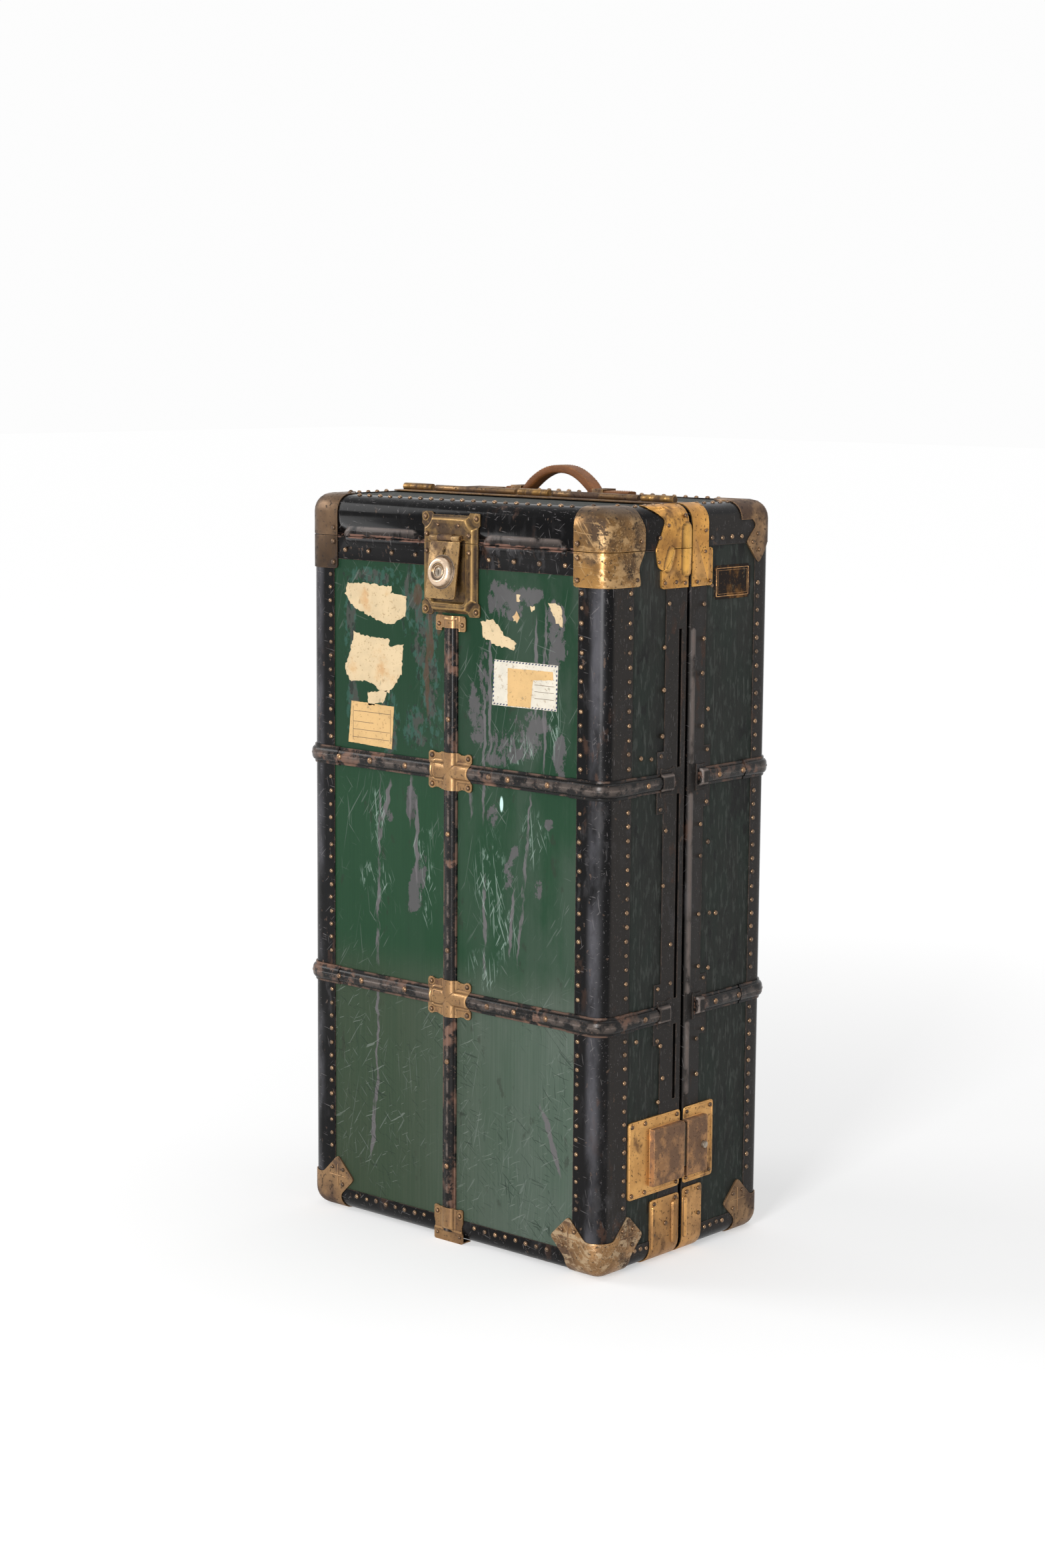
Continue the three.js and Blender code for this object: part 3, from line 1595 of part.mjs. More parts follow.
// The part's origin is the middle of the bottom of its box.
const box = new THREE.Box3().setFromObject(trunk);
const middle = box.getCenter(new THREE.Vector3());
trunk.position.set(-middle.x, -middle.y, -box.min.z);
const group = new THREE.Group();
group.add(trunk);

export default group;
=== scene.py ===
# %% [markdown]
# A steamer wardrobe trunk, dressed over its CAD frame. The frame holds the sizes, the joints and the
# plain solids. This lesson gives them their finishes, and adds the small things that a maker nails,
# glues or sews on: rivets, nails, pressed ribs, paper labels, a leather handle and a buttoned cushion.
# %% Load the frame
import json
import math
import random
from collections import namedtuple

import bmesh
import bpy
from mathutils import Matrix, Vector


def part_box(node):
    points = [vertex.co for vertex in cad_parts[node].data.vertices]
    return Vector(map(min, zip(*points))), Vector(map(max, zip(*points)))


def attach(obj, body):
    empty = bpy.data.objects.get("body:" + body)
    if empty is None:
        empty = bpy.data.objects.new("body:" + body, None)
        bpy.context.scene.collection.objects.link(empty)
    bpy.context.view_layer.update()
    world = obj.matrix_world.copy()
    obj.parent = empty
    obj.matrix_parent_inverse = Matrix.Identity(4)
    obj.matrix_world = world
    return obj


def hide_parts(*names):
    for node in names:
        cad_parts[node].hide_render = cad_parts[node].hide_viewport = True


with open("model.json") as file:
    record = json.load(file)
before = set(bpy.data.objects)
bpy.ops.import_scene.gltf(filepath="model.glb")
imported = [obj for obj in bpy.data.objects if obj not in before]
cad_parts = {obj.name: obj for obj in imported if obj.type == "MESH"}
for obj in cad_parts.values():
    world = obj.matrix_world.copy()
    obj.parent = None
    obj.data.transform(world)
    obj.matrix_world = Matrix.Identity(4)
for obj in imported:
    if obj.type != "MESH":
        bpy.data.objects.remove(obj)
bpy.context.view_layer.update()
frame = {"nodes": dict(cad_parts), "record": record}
record = frame["record"]
body_of = {name: body for body, names in record["behaviour"]["bodies"].items() for name in names}
slot_of = {part["node"]: part["material_slot"] for part in record["subparts"]}

# %% [markdown]
# Every place below is given in millimetres from the trunk's own corner of reference: x from the middle
# of its width, y from its front face, z from its bottom. The sizes of the case come from the frame,
# so that a change in the CAD moves the rivets with it.
# %% Measure the case
MM = 0.001
SHEET = 1.2
PANEL_IN = 1.5
EDGE_RADIUS = 24.0
front_case_low, front_case_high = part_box("front_case")
rear_low, rear_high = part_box("rear_edge_binding")
lid_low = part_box("lid_case")[0]
middle_x = (rear_low.x + rear_high.x) / 2
front_y = front_case_low.y - PANEL_IN * MM
bottom_z = rear_low.z
HALF = (rear_high.x - rear_low.x) / 2 / MM
DEPTH = (rear_high.y - front_y) / MM
HEIGHT = (rear_high.z - bottom_z) / MM
SEAM = (front_case_high.y - front_y) / MM + PANEL_IN
REAR = (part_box("rear_seam_binding")[0].y - front_y) / MM
SPLIT = (lid_low.z - bottom_z) / MM - PANEL_IN
print("case", round(2 * HALF), round(DEPTH), round(HEIGHT), "seam", round(SEAM), "split", round(SPLIT))


def at(x, y, z):
    """A point in the frame, in metres, from millimetres on the trunk."""
    return Vector((middle_x + x * MM, front_y + y * MM, bottom_z + z * MM))


def level(z):
    """A height in the frame, in metres, from millimetres above the trunk's bottom."""
    return bottom_z + z * MM


Place = namedtuple("Place", "x y z")


def trunk_place(spot):
    """How far right, back and up on the trunk a place in the frame is, in millimetres."""
    return Place((spot.x - middle_x) / MM, (spot.y - front_y) / MM, (spot.z - bottom_z) / MM)


def new_object(name, data):
    """An object in the scene, at the origin."""
    made = bpy.data.objects.new(name, data)
    bpy.context.collection.objects.link(made)
    return made


# %% [markdown]
# The camera stands where the photographer stood: about 2.6 m to the right of the trunk, 2.8 m in front
# of it and a little above its top, with a long lens. The angles and the distance were found by fitting
# the trunk's own edges to the picture.
# %% Place the camera
CAMERA_PLACE = (2638.6, -2847.2, 1238.2)
CAMERA_YAW = math.radians(41.3724)
CAMERA_PITCH = math.radians(8.635)
CAMERA_ROLL = math.radians(0.4223)
SENSOR_HEIGHT = 36.0
LENS = 65.67


def photograph_camera():
    """A camera whose picture has the photograph's frame."""
    forward = Vector((-math.sin(CAMERA_YAW), math.cos(CAMERA_YAW), 0)) * math.cos(CAMERA_PITCH)
    forward.z = -math.sin(CAMERA_PITCH)
    sideways = Vector((math.cos(CAMERA_YAW), math.sin(CAMERA_YAW), 0))
    upright = sideways.cross(forward)
    right = sideways * math.cos(CAMERA_ROLL) + upright * math.sin(CAMERA_ROLL)
    up = upright * math.cos(CAMERA_ROLL) - sideways * math.sin(CAMERA_ROLL)
    data = bpy.data.cameras.new("photograph")
    data.sensor_fit = "VERTICAL"
    data.sensor_height = SENSOR_HEIGHT
    data.lens = LENS
    camera = new_object("photograph", data)
    turn = Matrix((right, up, -forward)).transposed().to_4x4()
    camera.matrix_world = Matrix.Translation(at(*CAMERA_PLACE)) @ turn
    return camera


bpy.context.scene.camera = photograph_camera()
print("camera at", [round(v, 3) for v in bpy.context.scene.camera.location])

# %% [markdown]
# The studio is a pale floor with a large soft lamp near the camera and a weaker one on the left. The
# bright line down the near corner of the brass caps shows where the large one stood. The floor and the
# world look white to the camera and in reflections, while the light that they throw on the trunk stays
# modest. The floor glows less near the trunk, so that the lamps' soft shadow can be seen there.
# %% Build the studio
FLOOR_REACH = 30.0
FLOOR_COLOUR = (0.62, 0.62, 0.62, 1)
FLOOR_GLOW_NEAR, FLOOR_GLOW_FAR = 0.45, 0.76
GLOW_START, GLOW_END = 0.5, 3.4
WORLD_LIGHT = 0.38
WORLD_SEEN = 0.98
TRUNK_MIDDLE = Vector((0, 0, 0.55))


def give(tree, value, socket):
    """Links a socket's value, or writes a plain number or colour on the socket."""
    if isinstance(value, bpy.types.NodeSocket):
        tree.links.new(value, socket)
    else:
        socket.default_value = value


def put(tree, kind, settings=None, **sockets):
    """Adds a node, sets its options, and fills or links its named inputs."""
    made = tree.nodes.new(kind)
    for name, value in (settings or {}).items():
        setattr(made, name, value)
    for name, value in sockets.items():
        give(tree, value, made.inputs[name.replace("_", " ")])
    return made


def compute(tree, operation, *values, clamp=False, kind="ShaderNodeMath"):
    """A Math node on numbers or sockets."""
    made = tree.nodes.new(kind)
    made.operation = operation
    if clamp:
        made.use_clamp = True
    for socket, value in zip(made.inputs, values):
        give(tree, value, socket)
    return made.outputs[0]


def compute_vector(tree, operation, *values):
    """A Vector Math node, whose answer is a vector."""
    return compute(tree, operation, *values, kind="ShaderNodeVectorMath")


def ramp(tree, value, low, high, out_low=0.0, out_high=1.0):
    """A smooth step from low to high."""
    made = put(
        tree, "ShaderNodeMapRange", {"interpolation_type": "SMOOTHSTEP"}, Value=value,
        From_Min=low, From_Max=high, To_Min=out_low, To_Max=out_high,
    )
    return made.outputs[0]


def seen_share(tree):
    """One where a ray from the camera, a reflection or a glass looks at the surface."""
    path = tree.nodes.new("ShaderNodeLightPath")
    looks = compute(tree, "ADD", path.outputs["Is Camera Ray"], path.outputs["Is Glossy Ray"])
    return compute(tree, "ADD", looks, path.outputs["Is Transmission Ray"], clamp=True)


def studio_floor():
    """A wide pale floor that shows a soft shadow."""
    material = bpy.data.materials.new("studio_floor")
    material.use_nodes = True
    tree = material.node_tree
    tree.nodes.clear()
    diffuse = put(tree, "ShaderNodeBsdfDiffuse", Color=FLOOR_COLOUR)
    place = tree.nodes.new("ShaderNodeTexCoord").outputs["Object"]
    away = put(tree, "ShaderNodeVectorMath", {"operation": "LENGTH"})
    tree.links.new(place, away.inputs[0])
    far_glow = ramp(tree, away.outputs["Value"], GLOW_START, GLOW_END, FLOOR_GLOW_NEAR, FLOOR_GLOW_FAR)
    strength = compute(tree, "MULTIPLY", seen_share(tree), far_glow)
    glow = put(tree, "ShaderNodeEmission", Strength=strength)
    both = tree.nodes.new("ShaderNodeAddShader")
    tree.links.new(diffuse.outputs[0], both.inputs[0])
    tree.links.new(glow.outputs[0], both.inputs[1])
    out = tree.nodes.new("ShaderNodeOutputMaterial")
    tree.links.new(both.outputs[0], out.inputs["Surface"])
    mesh = bpy.data.meshes.new("floor")
    corners = [(x * FLOOR_REACH, y * FLOOR_REACH, 0) for x, y in ((-1, -1), (1, -1), (1, 1), (-1, 1))]
    mesh.from_pydata(corners, [], [(0, 1, 2, 3)])
    mesh.materials.append(material)
    new_object("floor", mesh)


def studio_world():
    """A world that is white to look at and gives a soft light."""
    world = bpy.data.worlds.new("studio")
    world.use_nodes = True
    tree = world.node_tree
    tree.nodes.clear()
    extra = compute(tree, "MULTIPLY", seen_share(tree), WORLD_SEEN - WORLD_LIGHT)
    strength = compute(tree, "ADD", extra, WORLD_LIGHT)
    background = put(tree, "ShaderNodeBackground", Color=(1, 1, 1, 1), Strength=strength)
    out = tree.nodes.new("ShaderNodeOutputWorld")
    tree.links.new(background.outputs[0], out.inputs["Surface"])
    bpy.context.scene.world = world


def soft_lamp(name, place, wide, tall, power):
    """An area lamp that looks at the trunk's middle."""
    data = bpy.data.lights.new(name, "AREA")
    data.shape = "RECTANGLE"
    data.size, data.size_y = wide, tall
    data.energy = power
    lamp = new_object(name, data)
    lamp.location = place
    lamp.rotation_euler = (TRUNK_MIDDLE - Vector(place)).to_track_quat("-Z", "Y").to_euler()


studio_floor()
studio_world()
soft_lamp("key", (1.5, -4.0, 1.3), 1.0, 2.5, 165)
soft_lamp("left", (-3.2, -1.8, 2.4), 1.8, 1.8, 55)
soft_lamp("top", (0.2, 0.8, 3.6), 2.0, 2.0, 25)
bpy.context.scene.view_settings.view_transform = "Standard"
print("lamps", [o.name for o in bpy.data.objects if o.type == "LIGHT"])

# %% [markdown]
# Worn things share a few effects: blotches where dirt or rubbing collects, long scratches, a vertical
# grain, and bare metal along edges. Each effect is a shader node group with its own inputs, built once
# and placed in every material that shows it.
# %% Make the shared effects


def effect(name, inputs):
    """A new shader group with a vector input, float inputs, and one output, Mask."""
    tree = bpy.data.node_groups.new(name, "ShaderNodeTree")
    tree.interface.new_socket("Vector", in_out="INPUT", socket_type="NodeSocketVector")
    for label, value in inputs.items():
        made = tree.interface.new_socket(label, in_out="INPUT", socket_type="NodeSocketFloat")
        made.default_value = value
    tree.interface.new_socket("Mask", in_out="OUTPUT", socket_type="NodeSocketFloat")
    source = tree.nodes.new("NodeGroupInput")
    sink = tree.nodes.new("NodeGroupOutput")
    return tree, source.outputs, sink.inputs["Mask"]


def stretched_noise(tree, place, stretch, **settings):
    """Noise whose pattern is squeezed by its own factor along each axis."""
    squeeze = put(tree, "ShaderNodeCombineXYZ", X=stretch[0], Y=stretch[1], Z=stretch[2])
    stretched = compute_vector(tree, "MULTIPLY", place, squeeze.outputs[0])
    return put(tree, "ShaderNodeTexNoise", Vector=stretched, **settings).outputs[0]


def make_blotches():
    """Cloudy patches: noise cut at a level."""
    numbers = {"Scale": 20, "Level": 0.5, "Softness": 0.05, "Detail": 5, "Tall": 1}
    tree, given, mask = effect("blotches", numbers)
    noise = stretched_noise(
        tree, given["Vector"], (1.0, 1.0, given["Tall"]), Scale=given["Scale"], Detail=given["Detail"],
        Roughness=0.6,
    )
    low = compute(tree, "SUBTRACT", given["Level"], given["Softness"])
    high = compute(tree, "ADD", given["Level"], given["Softness"])
    tree.links.new(ramp(tree, noise, low, high), mask)
    return tree


def make_scratches():
    """Long thin marks that lie at an angle in the upright plane."""
    tree, given, mask = effect("scratches", {"Angle": 0, "Across": 300, "Along": 14, "Level": 0.66})
    turn = put(tree, "ShaderNodeCombineXYZ", X=0.0, Y=given["Angle"], Z=0.0)
    turned = put(tree, "ShaderNodeMapping", Vector=given["Vector"], Rotation=turn.outputs[0])
    stretch = (given["Across"], given["Across"], given["Along"])
    noise = stretched_noise(tree, turned.outputs[0], stretch, Scale=1.0, Detail=1.0, Roughness=0.4)
    high = compute(tree, "ADD", given["Level"], 0.03)
    tree.links.new(ramp(tree, noise, given["Level"], high), mask)
    return tree


def make_grain():
    """Fine upright streaks, from 0 to 1."""
    tree, given, mask = effect("grain", {"Across": 160, "Along": 9})
    stretch = (given["Across"], given["Across"], given["Along"])
    noise = stretched_noise(tree, given["Vector"], stretch, Scale=1.0, Detail=6.0, Roughness=0.65)
    tree.links.new(ramp(tree, noise, 0.3, 0.7), mask)
    return tree


def make_rubbed_edges():
    """One along sharp edges, broken up by noise: where handling rubs the finish off."""
    tree, given, mask = effect("rubbed_edges", {"Radius": 0.0012, "Amount": 0.5, "Scale": 70})
    rounded = put(tree, "ShaderNodeBevel", {"samples": 3}, Radius=given["Radius"])
    true_normal = tree.nodes.new("ShaderNodeNewGeometry").outputs["Normal"]
    dot = put(tree, "ShaderNodeVectorMath", {"operation": "DOT_PRODUCT"})
    tree.links.new(rounded.outputs[0], dot.inputs[0])
    tree.links.new(true_normal, dot.inputs[1])
    turned = compute(tree, "SUBTRACT", 1.0, dot.outputs["Value"])
    noise = put(tree, "ShaderNodeTexNoise", Vector=given["Vector"], Scale=given["Scale"], Detail=4.0)
    level = compute(tree, "SUBTRACT", 1.0, given["Amount"])
    broken = compute(tree, "SUBTRACT", noise.outputs[0], compute(tree, "MULTIPLY", level, 0.5))
    strength = compute(tree, "MULTIPLY", ramp(tree, turned, 0.01, 0.09), ramp(tree, broken, 0.1, 0.3))
    tree.links.new(strength, mask)
    return tree


def make_oval():
    """One inside an upright or leaning oval in the plane of the front."""
    values = {"X": 0, "Z": 0, "Wide": 0.01, "Tall": 0.01, "Lean": 0, "Soft": 0.5}
    tree, given, mask = effect("oval", values)
    place = put(tree, "ShaderNodeSeparateXYZ", Vector=given["Vector"])
    up = compute(tree, "SUBTRACT", place.outputs["Z"], given["Z"])
    over = compute(tree, "SUBTRACT", place.outputs["X"], given["X"])
    over = compute(tree, "SUBTRACT", over, compute(tree, "MULTIPLY", up, given["Lean"]))
    over = compute(tree, "DIVIDE", over, given["Wide"])
    up = compute(tree, "DIVIDE", up, given["Tall"])
    squares = compute(tree, "ADD", compute(tree, "MULTIPLY", over, over), compute(tree, "MULTIPLY", up, up))
    low = compute(tree, "SUBTRACT", 1.0, given["Soft"])
    high = compute(tree, "ADD", 1.0, given["Soft"])
    tree.links.new(ramp(tree, squares, low, high, 1.0, 0.0), mask)
    return tree


blotches = make_blotches()
scratches = make_scratches()
grain = make_grain()
rubbed_edges = make_rubbed_edges()
oval = make_oval()
print("effects", [g.name for g in bpy.data.node_groups])

# %% [markdown]
# A finish is built in layers, as a restorer would describe it: a base colour, then each mark or stain
# laid over it by its mask. A small helper keeps the running colour, roughness and height, so that each
# material reads as a list of layers.
# %% Write the layer helper


def linear(share):
    """A screen channel, 0 to 1, as linear light."""
    return share / 12.92 if share <= 0.04045 else ((share + 0.055) / 1.055) ** 2.4


def colour(*channels):
    """A screen colour, 0 to 255, as Blender's linear colour."""
    return (*(linear(value / 255) for value in channels), 1.0)


class Finish:
    """A Principled material that is built up in layers."""

    def __init__(self, name, base, roughness=0.5, metallic=0.0, specular=0.5):
        self.material = bpy.data.materials.new(name)
        self.material.use_nodes = True
        self.tree = self.material.node_tree
        self.shader = self.tree.nodes["Principled BSDF"]
        self.shader.inputs["Specular IOR Level"].default_value = specular
        self.place = self.tree.nodes.new("ShaderNodeTexCoord").outputs["Object"]
        self.colour = colour(*base)
        self.roughness = roughness
        self.metallic = metallic
        self.height = None

    def mask(self, group, **values):
        """An effect's mask with its own values."""
        made = self.tree.nodes.new("ShaderNodeGroup")
        made.node_tree = group
        self.tree.links.new(self.place, made.inputs["Vector"])
        for label, value in values.items():
            made.inputs[label].default_value = value
        return made.outputs["Mask"]

    def cloud(self, scale, level, softness, detail, tall=1):
        """Blotches: noise of a scale and detail, cut at a level, and squeezed upright by tall."""
        return self.mask(blotches, Scale=scale, Level=level, Softness=softness, Detail=detail, Tall=tall)

    def scratch(self, angle, across, along, level):
        """Thin marks at an angle. They are as close as across says and as short as along says."""
        return self.mask(scratches, Angle=angle, Across=across, Along=along, Level=level)

    def streaks(self, across, along):
        """Upright streaks."""
        return self.mask(grain, Across=across, Along=along)

    def edges(self, radius, amount, scale):
        """Rubbed edges."""
        return self.mask(rubbed_edges, Radius=radius, Amount=amount, Scale=scale)

    def attribute(self, name):
        """What the mesh's points keep under a name."""
        return put(self.tree, "ShaderNodeAttribute", {"attribute_name": name}).outputs["Fac"]

    def axis(self, letter):
        """One coordinate of the surface point, in metres."""
        return put(self.tree, "ShaderNodeSeparateXYZ", Vector=self.place).outputs[letter]

    def both(self, first, second):
        """One mask inside another, or a mask made weaker by a number."""
        return compute(self.tree, "MULTIPLY", first, second)

    def between(self, value, low, high, soft):
        """One where a coordinate lies between two values."""
        rise = ramp(self.tree, value, low - soft, low + soft)
        fall = ramp(self.tree, value, high - soft, high + soft, 1.0, 0.0)
        return self.both(rise, fall)

    def spot(self, x, z, wide, tall, lean=0.0, soft=0.5):
        """One inside an oval on the front, given in millimetres on the trunk."""
        centre = at(x, 0, z)
        return self.mask(oval, X=centre.x, Z=centre.z, Wide=wide * MM, Tall=tall * MM, Lean=lean, Soft=soft)

    def any_of(self, masks):
        """The largest of several masks."""
        result = masks[0]
        for mask in masks[1:]:
            result = compute(self.tree, "MAXIMUM", result, mask)
        return result

    def wobbled(self, amount, scale):
        """Moves the pattern's place about by noise, so that drawn edges look uneven."""
        noise = put(self.tree, "ShaderNodeTexNoise", Vector=self.place, Scale=scale, Detail=4.0)
        shift = compute_vector(self.tree, "SUBTRACT", noise.outputs["Color"], (0.5, 0.5, 0.5))
        grown = put(self.tree, "ShaderNodeVectorMath", {"operation": "SCALE"}, Scale=amount * MM)
        self.tree.links.new(shift, grown.inputs[0])
        return compute_vector(self.tree, "ADD", self.place, grown.outputs[0])

    def torn(self, area, scale, reach=2.2, cut=1.85, tall=1.0, soft=0.04):
        """A soft area whose edge is eaten away by fine noise."""
        squeeze = put(self.tree, "ShaderNodeMapping", Vector=self.place, Scale=(1, 1, tall)).outputs[0]
        noise = put(self.tree, "ShaderNodeTexNoise", Vector=squeeze, Scale=scale, Detail=9.0, Roughness=0.7)
        field = compute(self.tree, "ADD", area, self.both(noise.outputs[0], reach))
        return ramp(self.tree, field, cut - soft, cut + soft)

    def layer(self, mask, tint, amount=None, roughness=None, metallic=None):
        """Lays a screen colour, and perhaps a roughness and a metal, over what is there."""
        if amount is not None:
            mask = self.both(mask, amount)
        self.colour = self.blend("RGBA", mask, self.colour, colour(*tint))
        if roughness is not None:
            self.roughness = self.blend("FLOAT", mask, self.roughness, roughness)
        if metallic is not None:
            self.metallic = self.blend("FLOAT", mask, self.metallic, metallic)

    def blend(self, kind, mask, first, second):
        """The second value where the mask is 1, and the first where it is 0."""
        factor, low, high, answer = (0, 6, 7, 2) if kind == "RGBA" else (0, 2, 3, 0)
        made = put(self.tree, "ShaderNodeMix", {"data_type": kind})
        for value, index in ((mask, factor), (first, low), (second, high)):
            give(self.tree, value, made.inputs[index])
        return made.outputs[answer]

    def raise_by(self, mask, amount):
        """Adds to the height that the bump reads."""
        part = self.both(mask, amount)
        self.height = part if self.height is None else compute(self.tree, "ADD", self.height, part)
        return self

    def done(self, bump=0.5):
        """Hands the running values to the shader. A plain number goes on the shader's own socket."""
        give(self.tree, self.colour, self.shader.inputs["Base Color"])
        give(self.tree, self.roughness, self.shader.inputs["Roughness"])
        give(self.tree, self.metallic, self.shader.inputs["Metallic"])
        if self.height is not None:
            made = put(self.tree, "ShaderNodeBump", Strength=bump, Distance=MM, Height=self.height)
            self.tree.links.new(made.outputs[0], self.shader.inputs["Normal"])
        return self.material


# %% [markdown]
# The panels are vulcanised fibre glued over plywood and painted green. The front has kept its paint:
# deep and glossy above the upper band, duller near the floor, with grey scuffs, flaked patches and fine
# scratches in every direction. The sides have weathered to a dark grey-green with an upright grain.
# %% Make the fibre finishes
FLAKED_OVALS = [
    (-52, 860, 26, 84, 0.0), (-38, 770, 24, 70, -0.1), (-78, 900, 18, 50, 0.1), (-66, 720, 26, 34, 0.0),
    (-150, 925, 60, 14, 0.0), (-196, 850, 12, 60, 0.0), (-190, 740, 14, 50, 0.0), (-120, 720, 20, 60, 0.0),
]
SCUFF_OVALS = [
    (139, 917, 34, 20, 0.2), (112, 716, 66, 34, 0.3), (186, 868, 26, 62, 0.0), (46, 740, 24, 60, 0.0),
    (98, 905, 42, 34, 0.0), (-76, 612, 15, 30, 0.0), (60, 800, 16, 60, 0.0), (-64, 500, 18, 60, 0.2),
    (196, 705, 16, 40, 0.0), (76, 612, 16, 22, 0.0), (150, 745, 50, 18, 0.0), (84, 690, 34, 12, 0.0),
    (110, 545, 14, 40, 0.3), (160, 520, 10, 22, 0.0), (178, 610, 10, 12, 0.0), (-118, 590, 10, 16, 0.0),
]
DRIP_OVALS = [
    (-141, 405, 2.6, 235, 0.015), (-128, 596, 5, 46, 0.25), (134, 535, 2.8, 118, 0.1),
    (168, 790, 3.2, 110, 0.0),
    (152, 815, 3.0, 70, 0.0), (70, 780, 3.0, 90, 0.0), (-66, 560, 3.4, 60, 0.0), (62, 455, 3.2, 70, 0.0),
    (36, 640, 3.4, 34, 0.0), (-148, 150, 4, 60, 0.1), (186, 178, 5, 46, -0.4), (112, 470, 3.0, 50, 0.1),
    (60, 690, 2.6, 90, 0.0), (-76, 640, 2.6, 60, 0.05),
]
WHITE_OVALS = [
    (72, 520, 26, 62, 0.0), (-144, 498, 30, 22, 0.0), (-46, 495, 14, 46, 0.0), (100, 452, 22, 36, 0.0),
    (-52, 560, 18, 20, 0.3), (150, 590, 22, 34, 0.0), (-140, 590, 14, 44, 0.0), (60, 395, 26, 24, 0.0),
    (120, 700, 30, 26, 0.3), (186, 760, 10, 50, 0.0),
]
BROWN_OVALS = [(-40, 850, 5, 34, 0.0), (-47, 800, 4, 60, 0.0), (-24, 870, 5, 20, 0.0), (-66, 905, 8, 14, 0.0)]


def front_fibre():
    made = Finish("front_fibre", (28, 60, 38), roughness=0.36, specular=0.1)
    height = made.axis("Z")
    to_right = ramp(made.tree, made.axis("X"), at(-160, 0, 0).x, at(230, 0, 0).x)
    made.layer(to_right, (36, 62, 45), 0.6)
    upper = ramp(made.tree, height, level(600), level(720))
    made.layer(upper, (24, 53, 35), roughness=0.28)
    lower = ramp(made.tree, height, level(330), level(420), 1.0, 0.0)
    made.layer(lower, (57, 67, 52), roughness=0.55)
    made.layer(made.both(lower, to_right), (84, 96, 86))
    tone = made.cloud(6, 0.5, 0.25, 3, 0.5)
    made.layer(tone, (50, 76, 57), 0.25)
    fine = made.streaks(420, 5)
    made.layer(fine, (22, 48, 34), 0.25, roughness=0.5)
    still = made.place
    made.place = made.wobbled(14, 30)
    flake_area = made.any_of([made.spot(*spot, soft=1.0) for spot in FLAKED_OVALS])
    scuff_area = made.any_of([made.spot(*spot, soft=1.0) for spot in SCUFF_OVALS])
    white_area = made.any_of([made.spot(*spot, soft=0.9) for spot in WHITE_OVALS])
    made.place = made.wobbled(5, 60)
    drips = made.any_of([made.spot(*spot, soft=0.3) for spot in DRIP_OVALS])
    browns = made.any_of([made.spot(*spot, soft=0.4) for spot in BROWN_OVALS])
    made.place = still
    flaked = made.torn(flake_area, 50, cut=2.02, tall=0.5)
    made.layer(flaked, (66, 68, 64), 0.9, roughness=0.75)
    crackle = made.cloud(150, 0.53, 0.03, 8, 0.5)
    around = made.torn(flake_area, 60, cut=1.62, tall=0.5)
    made.layer(made.both(around, crackle), (50, 82, 72), 0.7, roughness=0.7)
    dark_specks = made.cloud(120, 0.6, 0.03, 6, 0.6)
    made.layer(made.both(around, dark_specks), (34, 40, 36), 0.7, roughness=0.7)
    made.layer(browns, (80, 60, 48), 0.7, roughness=0.7)
    scuffed = made.any_of([
        made.torn(scuff_area, 34, cut=2.04, tall=0.7), made.torn(scuff_area, 130, cut=2.12, tall=0.5),
    ])
    made.layer(scuffed, (86, 83, 85), 0.85, roughness=0.75)
    broken = made.cloud(70, 0.42, 0.08, 7, 0.3)
    made.layer(made.both(drips, broken), (100, 96, 98), 0.85, roughness=0.75)
    gathered = made.cloud(9, 0.52, 0.1, 3, 0.7)
    for angle, across, along, cut, strength in (
        (0.1, 330, 11, 0.7, 0.45), (0.75, 360, 24, 0.71, 0.45), (-0.6, 340, 22, 0.71, 0.4),
        (1.35, 300, 18, 0.72, 0.35), (-0.2, 500, 8, 0.7, 0.35),
    ):
        mark = made.scratch(angle, across, along, cut)
        made.layer(made.both(mark, gathered), (116, 124, 118), strength, roughness=0.7)
    for angle, across, along, cut in ((0.08, 460, 14, 0.66), (-0.5, 380, 34, 0.68), (0.4, 420, 26, 0.68)):
        mark = made.scratch(angle, across, along, cut)
        made.layer(made.both(mark, white_area), (150, 168, 158), 0.5, roughness=0.7)
    smudge = made.cloud(110, 0.62, 0.06, 6, 0.4)
    made.layer(made.both(smudge, white_area), (150, 172, 160), 0.5, roughness=0.7)
    film = made.cloud(16, 0.52, 0.14, 7, 0.35)
    made.layer(made.both(film, to_right), (112, 112, 110), 0.15, roughness=0.6)
    made.place = made.wobbled(9, 22)
    for angle, along, cut, tint in (
        (0.9, 18, 0.68, (34, 44, 38)), (-1.1, 26, 0.69, (116, 124, 116)), (0.15, 16, 0.69, (40, 50, 44)),
        (1.4, 30, 0.69, (40, 48, 42)),
    ):
        mark = made.scratch(angle, 420, along, cut)
        low_marks = made.both(made.both(mark, lower), gathered)
        made.layer(low_marks, tint, 0.6, roughness=0.7)
    made.place = still
    grime = made.cloud(46, 0.66, 0.04, 6, 0.5)
    made.layer(grime, (44, 42, 38), 0.4, roughness=0.7)
    made.layer(made.spot(92, 630, 3, 10), (190, 222, 214), roughness=0.7)
    made.raise_by(fine, 0.1).raise_by(flaked, -0.25).raise_by(scuffed, -0.25).raise_by(drips, -0.1)
    return made.done(0.35)


